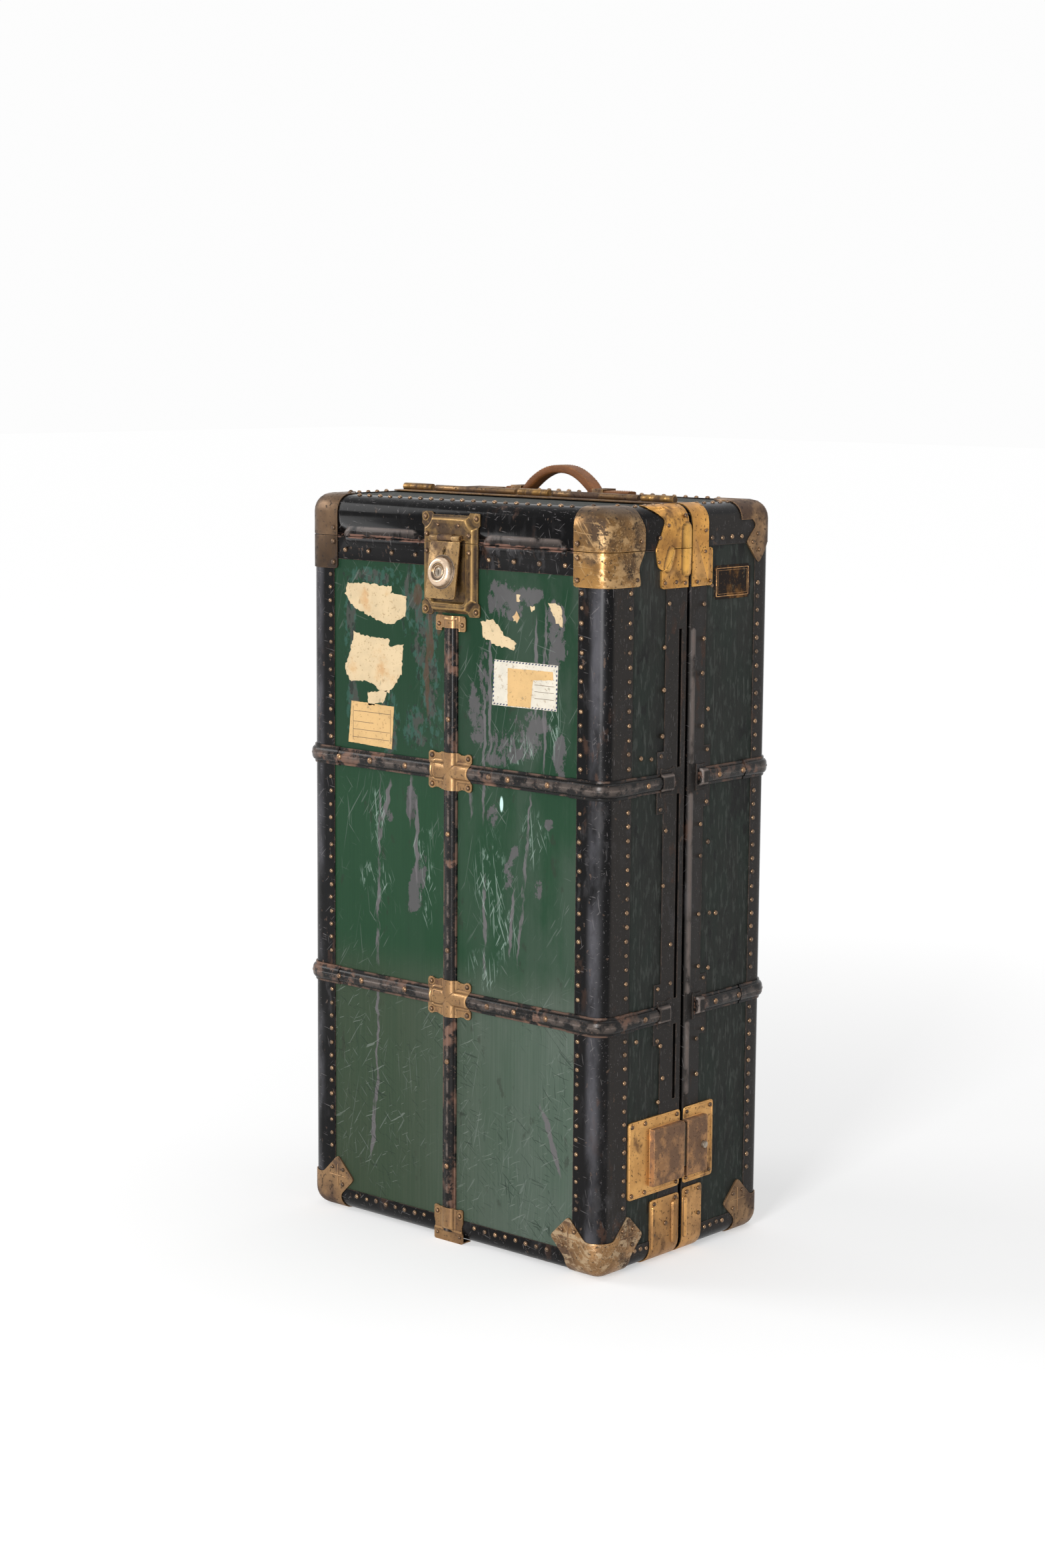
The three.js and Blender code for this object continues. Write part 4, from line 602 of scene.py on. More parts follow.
def side_fibre():
    made = Finish("side_fibre", (44, 46, 43), roughness=0.6, specular=0.12)
    upper = ramp(made.tree, made.axis("Z"), level(780), level(940))
    made.layer(upper, (66, 65, 62), 0.6)
    long_grain = made.streaks(260, 12)
    made.layer(long_grain, (62, 65, 61), 0.5, roughness=0.65)
    fine = made.streaks(800, 40)
    made.layer(fine, (26, 28, 27), 0.5)
    green = made.cloud(24, 0.52, 0.12, 8, 0.4)
    made.layer(green, (38, 52, 45), 0.35)
    flecks = made.cloud(150, 0.57, 0.04, 8, 0.3)
    made.layer(flecks, (84, 88, 84), 0.5, roughness=0.75)
    bare = made.both(made.cloud(60, 0.57, 0.02, 9, 0.4), made.cloud(9, 0.5, 0.08, 2, 0.6))
    made.layer(bare, (22, 22, 22), 0.8, roughness=0.5)
    rubbed = made.scratch(0.0, 300, 20, 0.68)
    made.layer(rubbed, (100, 102, 98), 0.4, roughness=0.7)
    made.raise_by(long_grain, 0.3).raise_by(fine, 0.2).raise_by(bare, -0.25)
    return made.done(0.6)


def seam_shade():
    """The dust lip inside the seam, painted black as shade, since the seam's gap lies in shadow."""
    made = Finish("seam_shade", (12, 11, 11), roughness=0.8, specular=0.05)
    dust = made.cloud(40, 0.6, 0.1, 5, 0.3)
    made.layer(dust, (34, 31, 28), 0.4)
    made.raise_by(dust, 0.1)
    return made.done(0.3)


def lining_cloth(name, second):
    """A plain weave. Its threads cross X and a second axis, which lies in the cloth."""
    made = Finish(name, (126, 104, 78), roughness=0.9, specular=0.2)
    up = put(made.tree, "ShaderNodeTexWave", {"bands_direction": second}, Vector=made.place, Scale=160.0)
    over = put(made.tree, "ShaderNodeTexWave", {"bands_direction": "X"}, Vector=made.place, Scale=160.0)
    weave = compute(made.tree, "MULTIPLY", up.outputs["Fac"], over.outputs["Fac"])
    made.layer(weave, (158, 134, 102), 0.5)
    stain = made.cloud(7, 0.58, 0.12, 4)
    made.layer(stain, (84, 66, 48), 0.35)
    made.raise_by(weave, 0.3)
    return made.done(0.4)


front_paint = front_fibre()
side_paint = side_fibre()
lining = lining_cloth("lining_cloth", "Z")
cushion_cloth = lining_cloth("cushion_cloth", "Y")
lip_shade = seam_shade()
print("fibre finishes made")

# %% [markdown]
# The bindings are sheet steel with a black lacquer. It is glossy where nothing touched it, carries a
# painted blue-grey highlight down the near corner, and is worn to brown metal along its edges.
# %% Make the metal finishes


def black_steel(name, roughness, haze, specular, stain, side, corner):
    made = Finish(name, (5, 5, 6), roughness=roughness, specular=specular)
    cloudy = made.cloud(5, 0.5, 0.22, 4, 0.5)
    made.layer(cloudy, (44, 42, 42), haze, roughness=roughness + 0.2)
    from_middle = compute(made.tree, "ABSOLUTE", compute(made.tree, "SUBTRACT", made.axis("X"), middle_x))
    on_side = ramp(made.tree, from_middle, (HALF - 3) * MM, (HALF - 0.5) * MM)
    made.layer(on_side, (50, 47, 45), side, roughness=0.55)
    # A painted highlight down the near corner, where the lamp's reflection runs, broken up by a cloud.
    corner_sheen_band = made.between(from_middle, (HALF - 27) * MM, (HALF - 11) * MM, 6 * MM)
    sheen_breakup = made.cloud(22, 0.49, 0.16, 9, 0.4)
    made.layer(made.both(corner_sheen_band, sheen_breakup), (94, 93, 98), corner, roughness=0.3)
    hazy = made.both(made.cloud(60, 0.56, 0.06, 9, 0.4), made.cloud(9, 0.54, 0.08, 3, 0.6))
    made.layer(hazy, (88, 86, 88), haze, roughness=0.5)
    for angle, across, along, cut in ((0.2, 460, 26, 0.71), (-0.8, 460, 34, 0.72), (1.4, 520, 40, 0.71)):
        mark = made.scratch(angle, across, along, cut)
        made.layer(mark, (122, 118, 118), 0.4, roughness=0.45)
    stained = made.both(made.cloud(44, 0.58, 0.04, 9, 0.5), made.cloud(9, 0.55, 0.05, 3, 0.5))
    made.layer(stained, (88, 64, 52), stain, roughness=0.7)
    chips = made.cloud(130, 0.68, 0.03, 4, 0.6)
    made.layer(chips, (116, 94, 80), stain, roughness=0.7)
    at_split = made.between(made.axis("Z"), level(SPLIT - 3), level(SPLIT + 3), 0.6 * MM)
    on_front = ramp(made.tree, made.axis("Y"), at(0, 1, 0).y, at(0, 4, 0).y, 1.0, 0.0)
    knocked = made.cloud(36, 0.5, 0.05, 8, 3)
    made.layer(made.both(made.both(at_split, on_front), knocked), (118, 88, 76), roughness=0.6)
    # Painted shade round the feet of the beads and of the pockets' raised middles; a painted highlight on the
    # beads' shoulders, and rubbed metal along the pockets' raised middles.
    made.layer(made.attribute("hollow"), (3, 3, 3), 0.8, roughness=0.5)
    broken = made.cloud(50, 0.42, 0.1, 8, 0.6)
    made.layer(made.both(made.attribute("crest"), broken), (134, 122, 116), roughness=0.22)
    edge = made.edges(0.0012, 0.5, 80)
    made.layer(edge, (118, 98, 86), 0.6, roughness=0.45, metallic=0.4)
    made.raise_by(cloudy, 0.05).raise_by(hazy, -0.1).raise_by(chips, -0.1)
    return made.done(0.3)


def worn_band():
    made = Finish("worn_band", (8, 7, 7), roughness=0.24, specular=0.22)
    patches = made.cloud(50, 0.52, 0.1, 7, 1.2)
    made.layer(patches, (28, 26, 25), 0.3, roughness=0.4)
    # The crest: rubbed bare steel, and a painted highlight along the band's top.
    crest = made.both(made.attribute("crest"), made.cloud(60, 0.5, 0.08, 7))
    made.layer(crest, (136, 122, 114), 0.5, roughness=0.3, metallic=0.5)
    rim = made.both(made.attribute("rim"), made.cloud(34, 0.52, 0.05, 8))
    made.layer(rim, (116, 90, 76), 0.55, roughness=0.6)
    bare = made.both(made.cloud(60, 0.5, 0.05, 8), made.cloud(14, 0.58, 0.06, 4))
    made.layer(bare, (124, 92, 76), 0.7, roughness=0.55)
    specks = made.cloud(220, 0.64, 0.04, 3)
    made.layer(specks, (110, 90, 78), 0.4, roughness=0.6)
    made.raise_by(patches, 0.1).raise_by(bare, -0.15)
    return made.done(0.4)


def lighter(tone, factor):
    return [max(0, min(255, channel * factor)) for channel in tone]


def old_brass(name, bright, dull, dark, cover, scale=30.0, roughness=0.38, pale=None, darker_top=False):
    """Brass that was rubbed bright in places and turned brown in the rest."""
    made = Finish(name, bright, roughness=roughness, metallic=0.85, specular=0.3)
    dulled = made.cloud(scale, 0.5, 0.16, 7)
    made.layer(dulled, dull, 0.9, roughness=roughness + 0.12, metallic=0.7)
    shade = made.cloud(scale * 0.35, 0.54, 0.07, 8)
    made.layer(shade, dark, 0.45, roughness=roughness + 0.1, metallic=0.6)
    browned = made.cloud(scale * 0.8, 1 - cover, 0.07, 9, 0.8)
    made.layer(browned, dark, 0.92, roughness=0.68, metallic=0.25)
    if pale:
        scuffed = made.cloud(scale * 1.6, 0.55, 0.05, 9, 1.5)
        made.layer(scuffed, pale, 0.7, roughness=0.42, metallic=0.7)
        for angle, along in ((1.5, 26), (0.7, 40)):
            mark = made.scratch(angle, 440, along, 0.64)
            made.layer(mark, pale, 0.5, roughness=0.35, metallic=0.8)
    # Darker towards the top, broken up by a cloud.
    if darker_top:
        over = ramp(made.tree, made.axis("Z"), level(HEIGHT - 22), level(HEIGHT - 4))
        cloud = made.cloud(26, 0.42, 0.1, 6)
        made.layer(made.both(over, cloud), dark, 0.9, roughness=0.5, metallic=0.5)
    specks = made.cloud(scale * 7, 0.62, 0.04, 3)
    made.layer(specks, lighter(dark, 0.45), 0.75, roughness=0.8, metallic=0.1)
    mark = made.scratch(0.6, 500, 40, 0.7)
    made.layer(mark, bright, 0.4, roughness=0.35, metallic=0.9)
    # The hollow mark lays painted shade, with dirt, round the feet of bumps and in the dips of pressed sheet;
    # the crest mark lays a painted highlight, with rubbed brass, on their shoulders and bulges.
    made.layer(made.attribute("hollow"), lighter(dark, 0.5), 0.85, roughness=0.75, metallic=0.2)
    made.layer(made.attribute("crest"), lighter(bright, 1.2), 0.8, roughness=0.26, metallic=0.9)
    edge = made.edges(0.0012, 0.6, 90)
    made.layer(edge, lighter(bright, 1.2), 0.8, roughness=0.3, metallic=0.95)
    made.raise_by(browned, 0.2).raise_by(specks, -0.15)
    return made.done(0.4)


def plain_metal(name, base, dark, roughness):
    made = Finish(name, base, roughness=roughness, metallic=0.85)
    dulled = made.cloud(90, 0.52, 0.1, 5)
    made.layer(dulled, dark, 0.8, roughness=roughness + 0.2, metallic=0.5)
    return made.done()


gloss_steel = black_steel("gloss_steel", 0.13, 0.08, 0.08, 0.35, 0.35, 0.2)
dull_steel = black_steel("dull_steel", 0.22, 0.26, 0.11, 0.45, 0.9, 0.7)
band_steel = worn_band()
plate_brass = old_brass("plate_brass", (224, 166, 86), (184, 132, 68), (106, 74, 44), 0.38)
catch_brass = old_brass("catch_brass", (214, 164, 100), (190, 142, 84), (112, 80, 54), 0.36)
housing_brass = old_brass("housing_brass", (180, 136, 94), (152, 114, 80), (118, 90, 70), 0.52, 60.0, 0.5)
foot_brass = old_brass("foot_brass", (206, 156, 96), (178, 132, 80), (116, 84, 56), 0.4)
clip_brass = old_brass("clip_brass", (158, 124, 86), (132, 100, 68), (92, 66, 48), 0.42, 34.0, 0.34)
# A brighter copy of cap brass, painted light, for the near bottom cap that faces the lamps.
lit_cap_brass = old_brass(
    "lit_cap_brass", (168, 130, 88), (134, 100, 66), (80, 60, 46), 0.46, 34.0, 0.36, (186, 162, 130),
)
cap_brass = old_brass("cap_brass", (152, 120, 86), (118, 92, 68), (76, 58, 48), 0.5, 26.0, 0.44)
lid_brass = old_brass(
    "lid_brass", (166, 124, 72), (128, 94, 54), (64, 48, 34), 0.46, 24.0, 0.2, (182, 148, 104), True,
)
# A darker copy of lid brass, painted shade, for the far left lid cap.
shaded_lid_brass = old_brass("shaded_lid_brass", (120, 96, 74), (88, 68, 50), (50, 38, 30), 0.5, 24.0, 0.3)
lock_brass = old_brass("lock_brass", (150, 120, 76), (108, 84, 54), (60, 44, 32), 0.52, 44.0, 0.24)
hasp_brass = old_brass("hasp_brass", (172, 140, 96), (134, 106, 70), (78, 58, 42), 0.42, 44.0, 0.24)
dome_worn = old_brass("dome_worn", (184, 162, 140), (142, 118, 94), (92, 74, 58), 0.3, 50.0, 0.22)
# A dark copy of lid brass, painted shade, for the far left top cap of the front shell.
shaded_cap_brass = old_brass("shaded_cap_brass", (88, 68, 50), (62, 48, 36), (40, 30, 24), 0.5, 24.0, 0.34)
hinge_brass = old_brass("hinge_brass", (140, 110, 74), (106, 82, 60), (72, 54, 44), 0.5, 28.0, 0.34)
barrel_brass = old_brass("barrel_brass", (158, 122, 70), (122, 92, 54), (72, 52, 36), 0.46, 60.0, 0.3)
rivet_copper = plain_metal("rivet_copper", (142, 114, 88), (60, 48, 40), 0.2)
nail_bronze = plain_metal("nail_bronze", (118, 92, 68), (52, 40, 32), 0.24)
dome_brass = plain_metal("dome_brass", (150, 116, 86), (74, 58, 48), 0.26)
gilt_line = plain_metal("gilt_line", (196, 148, 96), (124, 88, 58), 0.3)
worn_steel = plain_metal("worn_steel", (168, 156, 140), (104, 92, 80), 0.3)
nickel = plain_metal("nickel", (168, 164, 150), (118, 112, 98), 0.34)
print("metals made")

# %% [markdown]
# Leather, paper and wood are the soft finishes. Leather is darker where hands closed round it, paper is
# yellowed and spotted, and the drawers and hangers are varnished wood with a long grain.
# %% Make the soft finishes


def handle_leather():
    made = Finish("handle_leather", (158, 100, 54), roughness=0.5, specular=0.3)
    worn = made.cloud(45, 0.5, 0.15, 7)
    made.layer(worn, (108, 66, 36), 0.6, roughness=0.6)
    cracks = put(
        made.tree, "ShaderNodeTexVoronoi", {"feature": "DISTANCE_TO_EDGE"}, Vector=made.place, Scale=420.0,
    )
    cracked = ramp(made.tree, cracks.outputs["Distance"], 0.02, 0.1, 1.0, 0.0)
    made.layer(cracked, (66, 38, 22), 0.45, roughness=0.7)
    rim = made.attribute("rim")
    made.layer(rim, (84, 54, 36), 0.5, roughness=0.7)
    edge = made.edges(0.0015, 0.6, 60)
    made.layer(edge, (190, 132, 84), 0.6)
    made.raise_by(cracked, -0.3).raise_by(worn, 0.15)
    return made.done(0.5)


def waxed_thread():
    made = Finish("waxed_thread", (150, 118, 78), roughness=0.7, specular=0.3)
    dirt = made.cloud(160, 0.5, 0.15, 4)
    made.layer(dirt, (80, 56, 36), 0.7)
    return made.done()


def old_paper(name, base):
    made = Finish(name, base, roughness=0.85, specular=0.2)
    aged = made.cloud(30, 0.52, 0.14, 5)
    made.layer(aged, lighter(base, 0.86), 0.4)
    spots = made.cloud(260, 0.64, 0.04, 3)
    made.layer(spots, (136, 104, 66), 0.5)
    worn = made.cloud(90, 0.66, 0.03, 6)
    made.layer(worn, (120, 112, 90), 0.5)
    browned = made.cloud(16, 0.62, 0.06, 6)
    made.layer(browned, (186, 132, 74), 0.55)
    made.raise_by(aged, 0.2)
    return made.done(0.3)


def varnished_wood(name, base, dark, along):
    made = Finish(name, base, roughness=0.45, specular=0.35)
    squeeze = put(made.tree, "ShaderNodeMapping", Vector=made.place, Scale=along)
    noise = put(made.tree, "ShaderNodeTexNoise", Vector=squeeze.outputs[0], Scale=1.0, Detail=8.0)
    figure = ramp(made.tree, noise.outputs[0], 0.35, 0.65)
    made.layer(figure, dark, 0.8, roughness=0.5)
    worn = made.cloud(14, 0.6, 0.1, 4)
    made.layer(worn, lighter(dark, 0.6), 0.3)
    made.raise_by(figure, 0.15)
    return made.done(0.3)


leather = handle_leather()
thread = waxed_thread()
cream_paper = old_paper("cream_paper", (206, 184, 148))
white_paper = old_paper("white_paper", (210, 203, 188))
tan_paper = old_paper("tan_paper", (206, 170, 118))
print_ink = old_paper("print_ink", (108, 92, 76))
stripe_ink = old_paper("stripe_ink", (66, 72, 96))
badge_enamel = old_paper("badge_enamel", (34, 26, 23))
drawer_wood = varnished_wood("drawer_wood", (150, 104, 62), (104, 66, 38), (9, 60, 160))
hanger_wood = varnished_wood("hanger_wood", (176, 128, 78), (128, 84, 48), (10, 120, 120))
print("soft finishes made")

# %% [markdown]
# The CAD solids are made of loose triangles with flat faces. A merged copy keeps their exact shape, but
# shades its rounded stretches smoothly and keeps its folds sharp. A small bevel on the folds catches
# the light as a pressed sheet does.
# %% Copy a node as a smooth piece
SMOOTH_BELOW, FLAT_BELOW = math.radians(32), math.radians(0.6)
MERGE_WITHIN = 0.02 * MM


def dress(mesh, finishes, body, slot=None, node=None):
    """Makes a piece of a mesh: smooth where it is rounded, finished, and riding on its body."""
    mesh.polygons.foreach_set("use_smooth", [True] * len(mesh.polygons))
    mesh.set_sharp_from_angle(angle=SMOOTH_BELOW)
    for finish in finishes:
        mesh.materials.append(finish)
    made = new_object(mesh.name, mesh)
    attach(made, body)
    if node:
        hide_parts(node)
    return made


def smooth_copy(node, finishes, bevel=0.0):
    """A merged copy of a CAD node that stands for it."""
    mesh = bpy.data.meshes.new(node + "_dressed")
    shape = bmesh.new()
    shape.from_mesh(frame["nodes"][node].data)
    bmesh.ops.remove_doubles(shape, verts=shape.verts, dist=MERGE_WITHIN)
    bmesh.ops.dissolve_degenerate(shape, edges=shape.edges, dist=MERGE_WITHIN)
    bmesh.ops.dissolve_limit(shape, angle_limit=FLAT_BELOW, verts=shape.verts, edges=shape.edges)
    if bevel:
        sharp = [e for e in shape.edges if e.is_manifold and e.calc_face_angle(0) > SMOOTH_BELOW]
        bmesh.ops.bevel(
            shape, geom=sharp, offset=bevel * MM, segments=2, profile=0.6, affect="EDGES", clamp_overlap=True,
        )
    bmesh.ops.triangulate(shape, faces=[f for f in shape.faces if len(f.verts) > 4])
    shape.to_mesh(mesh)
    shape.free()
    return dress(mesh, finishes, body_of[node], slot_of[node], node)


def choose_finish(piece, rule):
    """Gives each face the finish whose number the rule returns for its place on the trunk and its normal."""
    for face in piece.data.polygons:
        face.material_index = rule(trunk_place(face.center), face.normal)
    piece.data.update()


LIP_WIDTH = 30.0
FACES_FRONT = -0.7


def case_rule(place, normal):
    """Front paint on the front, side paint on the other outer faces, black painted shade on the lip, lining
    inside.
    """
    across, back, up = abs(place.x), place.y, place.z
    wall = PANEL_IN + SHEET
    if across < HALF - wall and wall < back < DEPTH - wall and wall < up < HEIGHT - wall:
        return 3 if REAR - LIP_WIDTH < back < REAR + 1 and across > HALF - LIP_WIDTH else 2
    return 0 if normal.y < FACES_FRONT and back < wall else 1


for case in ("front_case", "rear_case", "lid_case"):
    choose_finish(smooth_copy(case, [front_paint, side_paint, lining, lip_shade]), case_rule)
print("cases dressed")

# %% Dress the bindings
smooth_copy("lid_binding", [gloss_steel])
for binding in ("front_edge_binding", "rear_edge_binding", "front_seam_binding", "rear_seam_binding"):
    smooth_copy(binding, [dull_steel])
print("bindings dressed")

# %% Dress the brass
# The far left caps take darker copies of their brass, painted shade; the near bottom cap takes a brighter
# copy, painted light.
dressing = {
    "front_cap_top_left": (shaded_cap_brass, 0.4), "front_cap_top_right": (lid_brass, 0.4),
    "lid_cap_left": (shaded_lid_brass, 0.4), "lid_cap_right": (lid_brass, 0.4),
    "rear_cap_top_left": (cap_brass, 0.4), "rear_cap_top_right": (cap_brass, 0.4),
    "front_cap_bottom_left": (cap_brass, 0.4), "front_cap_bottom_right": (lit_cap_brass, 0.4),
    "rear_cap_bottom_left": (cap_brass, 0.4), "rear_cap_bottom_right": (cap_brass, 0.4),
    "front_top_plate": (plate_brass, 0.0), "lid_top_plate": (plate_brass, 0.0),
    "rear_top_plate": (plate_brass, 0.0), "front_foot_plate": (foot_brass, 0.4),
    "rear_foot_plate": (foot_brass, 0.4), "hasp": (hasp_brass, 0.5),
    "key_cylinder": (worn_steel, 0.3), "catch_button": (worn_steel, 0.6), "catch_tongue": (nickel, 0.3),
    "side_hinge_rear_leaf": (hinge_brass, 0.3), "side_hinge_front_leaf": (hinge_brass, 0.3),
    "handle_keeper_left": (hinge_brass, 0.4), "handle_keeper_right": (hinge_brass, 0.4),
    "trolley_rail": (nickel, 0.3), "trolley_frame": (nickel, 0.5), "drawer_rack": (drawer_wood, 0.5),
    "hanger_1": (hanger_wood, 0.0), "hanger_2": (hanger_wood, 0.0), "hanger_3": (hanger_wood, 0.0),
}
for name, (finish, bevel) in dressing.items():
    smooth_copy(name, [finish], bevel)
print("brass dressed")

# %% [markdown]
# Some fittings have two finishes. The raised box of a catch is browner than the plate that it was
# pressed from, the turned barrels of the top hinge are brighter than its leaves, and the drawers have
# leather pulls. A rule picks the finish of each face by its place.
# %% Dress the fittings with two finishes
HOUSING_START = 4.0
TURNED_PLACES, TURNED_HALF, TURNED_START = (0, 222), 28.0, 3.0
PULL_REACH = 9.8


def housing_rule(place, normal):
    """The raised box of a catch."""
    return int(place.x > HALF + HOUSING_START)


def barrel_rule(place, normal):
    """The turned barrels of the top hinge."""
    on_barrel = min(abs(abs(place.x) - barrel) for barrel in TURNED_PLACES) < TURNED_HALF
    return int(on_barrel and place.z > HEIGHT + TURNED_START)


def pull_rule(place, normal):
    """The pulls, which stand out of the drawers' fronts."""
    return int(place.y < pull_start)


for node in ("front_catch_plate", "rear_catch_plate"):
    choose_finish(smooth_copy(node, [catch_brass, housing_brass], 0.5), housing_rule)
for node in ("top_hinge_rear_leaf", "top_hinge_lid_leaf"):
    choose_finish(smooth_copy(node, [hinge_brass, barrel_brass], 0.3), barrel_rule)
for node in ("drawer_1", "drawer_2", "drawer_3", "drawer_4"):
    pull_start = trunk_place(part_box(node)[0]).y + PULL_REACH
    choose_finish(smooth_copy(node, [drawer_wood, leather], 0.8), pull_rule)
print("fittings dressed")

# %% [markdown]
# A half-round band is rolled from strip: a flat flange on each side, a raised middle and a keel along
# it. It is swept here along the case's outline, and each point keeps how near the crest and the rim it
# lies, so that the finish can wear the crest and lay a painted highlight along it.
# %% Sweep the bands
BAND_PROFILE = [
    (-1.1, -12.5), (1.3, -12.5), (1.6, -11.4), (1.6, -9.2), (3.2, -8.6), (4.6, -7.2), (5.5, -5.2),
    (5.8, -2.6), (5.9, -1.4), (6.5, -0.7), (6.5, 0.7), (5.9, 1.4), (5.8, 2.6), (5.5, 5.2), (4.6, 7.2),
    (3.2, 8.6), (1.6, 9.2), (1.6, 11.4), (1.3, 12.5), (-1.1, 12.5),
]
BAND_HEIGHTS = {"lower": 348.0, "upper": 666.0}
CORNER_STEPS = 12


def loft(rows, count, last_turned=True):
    """The faces of a closed tube: rows of points joined to each other, and an end on the first and last."""
    faces = []
    for base in range(0, (rows - 1) * count, count):
        for i in range(count):
            j = (i + 1) % count
            faces.append((base + i, base + j, base + count + j, base + count + i))
    first, last = tuple(range(count)), tuple(range((rows - 1) * count, rows * count))
    return faces + ([first, last[::-1]] if last_turned else [first[::-1], last])


def keep(made, **marks):
    """Keeps numbers on a piece's points, such as how rubbed or how dirty each one is, or how much painted
    highlight or shade it takes.
    """
    for label, values in marks.items():
        made.data.attributes.new(label, "FLOAT", "POINT").data.foreach_set("value", values)


def new_piece(name, verts, faces, finish, body, slot=None, node=None):
    """A mesh piece on a body, from points in metres."""
    mesh = bpy.data.meshes.new(name)
    mesh.from_pydata([tuple(v) for v in verts], [], faces)
    shape = bmesh.new()
    shape.from_mesh(mesh)
    bmesh.ops.recalc_face_normals(shape, faces=shape.faces)
    shape.to_mesh(mesh)
    shape.free()
    return dress(mesh, [finish], body, slot, node)


def belt_path(end, face):
    """Stations round one shell, from the left side over its face to the right side."""
    corner_y = EDGE_RADIUS if face < 0 else DEPTH - EDGE_RADIUS
    corner_x = HALF - EDGE_RADIUS
    stations = [((-HALF, end), (-1, 0))]
    for side, turns in ((-1, range(CORNER_STEPS + 1)), (1, range(CORNER_STEPS, -1, -1))):
        for step in turns:
            angle = math.pi / 2 * step / CORNER_STEPS
            out = (side * math.cos(angle), face * math.sin(angle))
            place = (side * corner_x + EDGE_RADIUS * out[0], corner_y + EDGE_RADIUS * out[1])
            stations.append((place, out))
    stations.append(((HALF, end), (1, 0)))
    return stations


BAND_TALLEST = max(out for out, up in BAND_PROFILE)
BAND_WIDEST = max(up for out, up in BAND_PROFILE)
CREST_START = 0.75
RIM_WIDTH = 1.5


def sweep(name, stations, height, body, grow=0.0, node=None):
    """A closed strip: the band's profile stands out from each station."""
    verts, crest, rim = [], [], []
    for (x, y), (nx, ny) in stations:
        for out, up in BAND_PROFILE:
            reach = out + grow * (out > 0)
            verts.append(at(x + nx * reach, y + ny * reach, height + up * (1 + grow / BAND_WIDEST)))
            crest.append(max(0.0, (out / BAND_TALLEST - CREST_START) / (1 - CREST_START)))
            rim.append(float(abs(up) > BAND_WIDEST - RIM_WIDTH))
    made = new_piece(name, verts, loft(len(stations), len(BAND_PROFILE)), band_steel, body, "steel", node)
    keep(made, crest=crest, rim=rim)


FRONT_BAND_END = trunk_place(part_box("front_band_upper")[1]).y
REAR_BAND_START = trunk_place(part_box("rear_band_upper")[0]).y
SLEEVE_REACH = 62.0
SLEEVE_PROUD = 0.8
for label, height in BAND_HEIGHTS.items():
    for side, face, end, plane in (("front", -1, FRONT_BAND_END, 0), ("rear", 1, REAR_BAND_START, DEPTH)):
        node = f"{side}_band_{label}"
        sweep(node + "_dressed", belt_path(end, face), height, side + "_shell", node=node)
        whole = belt_path(plane - face * SLEEVE_REACH, face)
        half = CORNER_STEPS + 2
        right = [((HALF - SLEEVE_REACH, plane), (0, face)), *whole[half:]]
        left = [*whole[:half], ((SLEEVE_REACH - HALF, plane), (0, face))]
        for word, path in (("left", left), ("right", right)):
            sweep(f"{side}_sleeve_{label}_{word}", path, height, side + "_shell", SLEEVE_PROUD)
print("bands swept")

# %% Sweep the centre band
UPRIGHT_PROFILE = [(out, across * 24 / 25) for out, across in BAND_PROFILE]
UPRIGHT_CREST, UPRIGHT_RIM = 5.85, 10.5
for node in ("center_band_top", "center_band_middle", "center_band_bottom"):
    heights = [trunk_place(corner).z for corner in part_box(node)]
    verts = [at(across, -out, z) for z in heights for out, across in UPRIGHT_PROFILE]
    faces = loft(2, len(UPRIGHT_PROFILE), last_turned=False)
    made = new_piece(node + "_dressed", verts, faces, band_steel, "front_shell", "steel", node)
    keep(
        made, crest=[float(out > UPRIGHT_CREST) for out, across in UPRIGHT_PROFILE] * 2,
        rim=[float(abs(across) > UPRIGHT_RIM) for out, across in UPRIGHT_PROFILE] * 2,
    )
print("centre band swept")

# %% [markdown]
# Rivets, nails and stitches repeat hundreds of times, so Geometry Nodes place them. The tree takes a
# mesh of bare points, each with its outward direction, the way that it runs and its size. It puts a
# domed head on each one, and gives every head a slightly different size. The result becomes a plain
# mesh, one for each body.
# %% Build the tree for heads and stitches
HEAD_SIZES = (0.9, 1.08)
FRONT, BACK = (0, -1, 0), (0, 1, 0)
LEFT, RIGHT = (-1, 0, 0), (1, 0, 0)
UP = (0, 0, 1)
SIDES = ((-1, LEFT), (1, RIGHT))


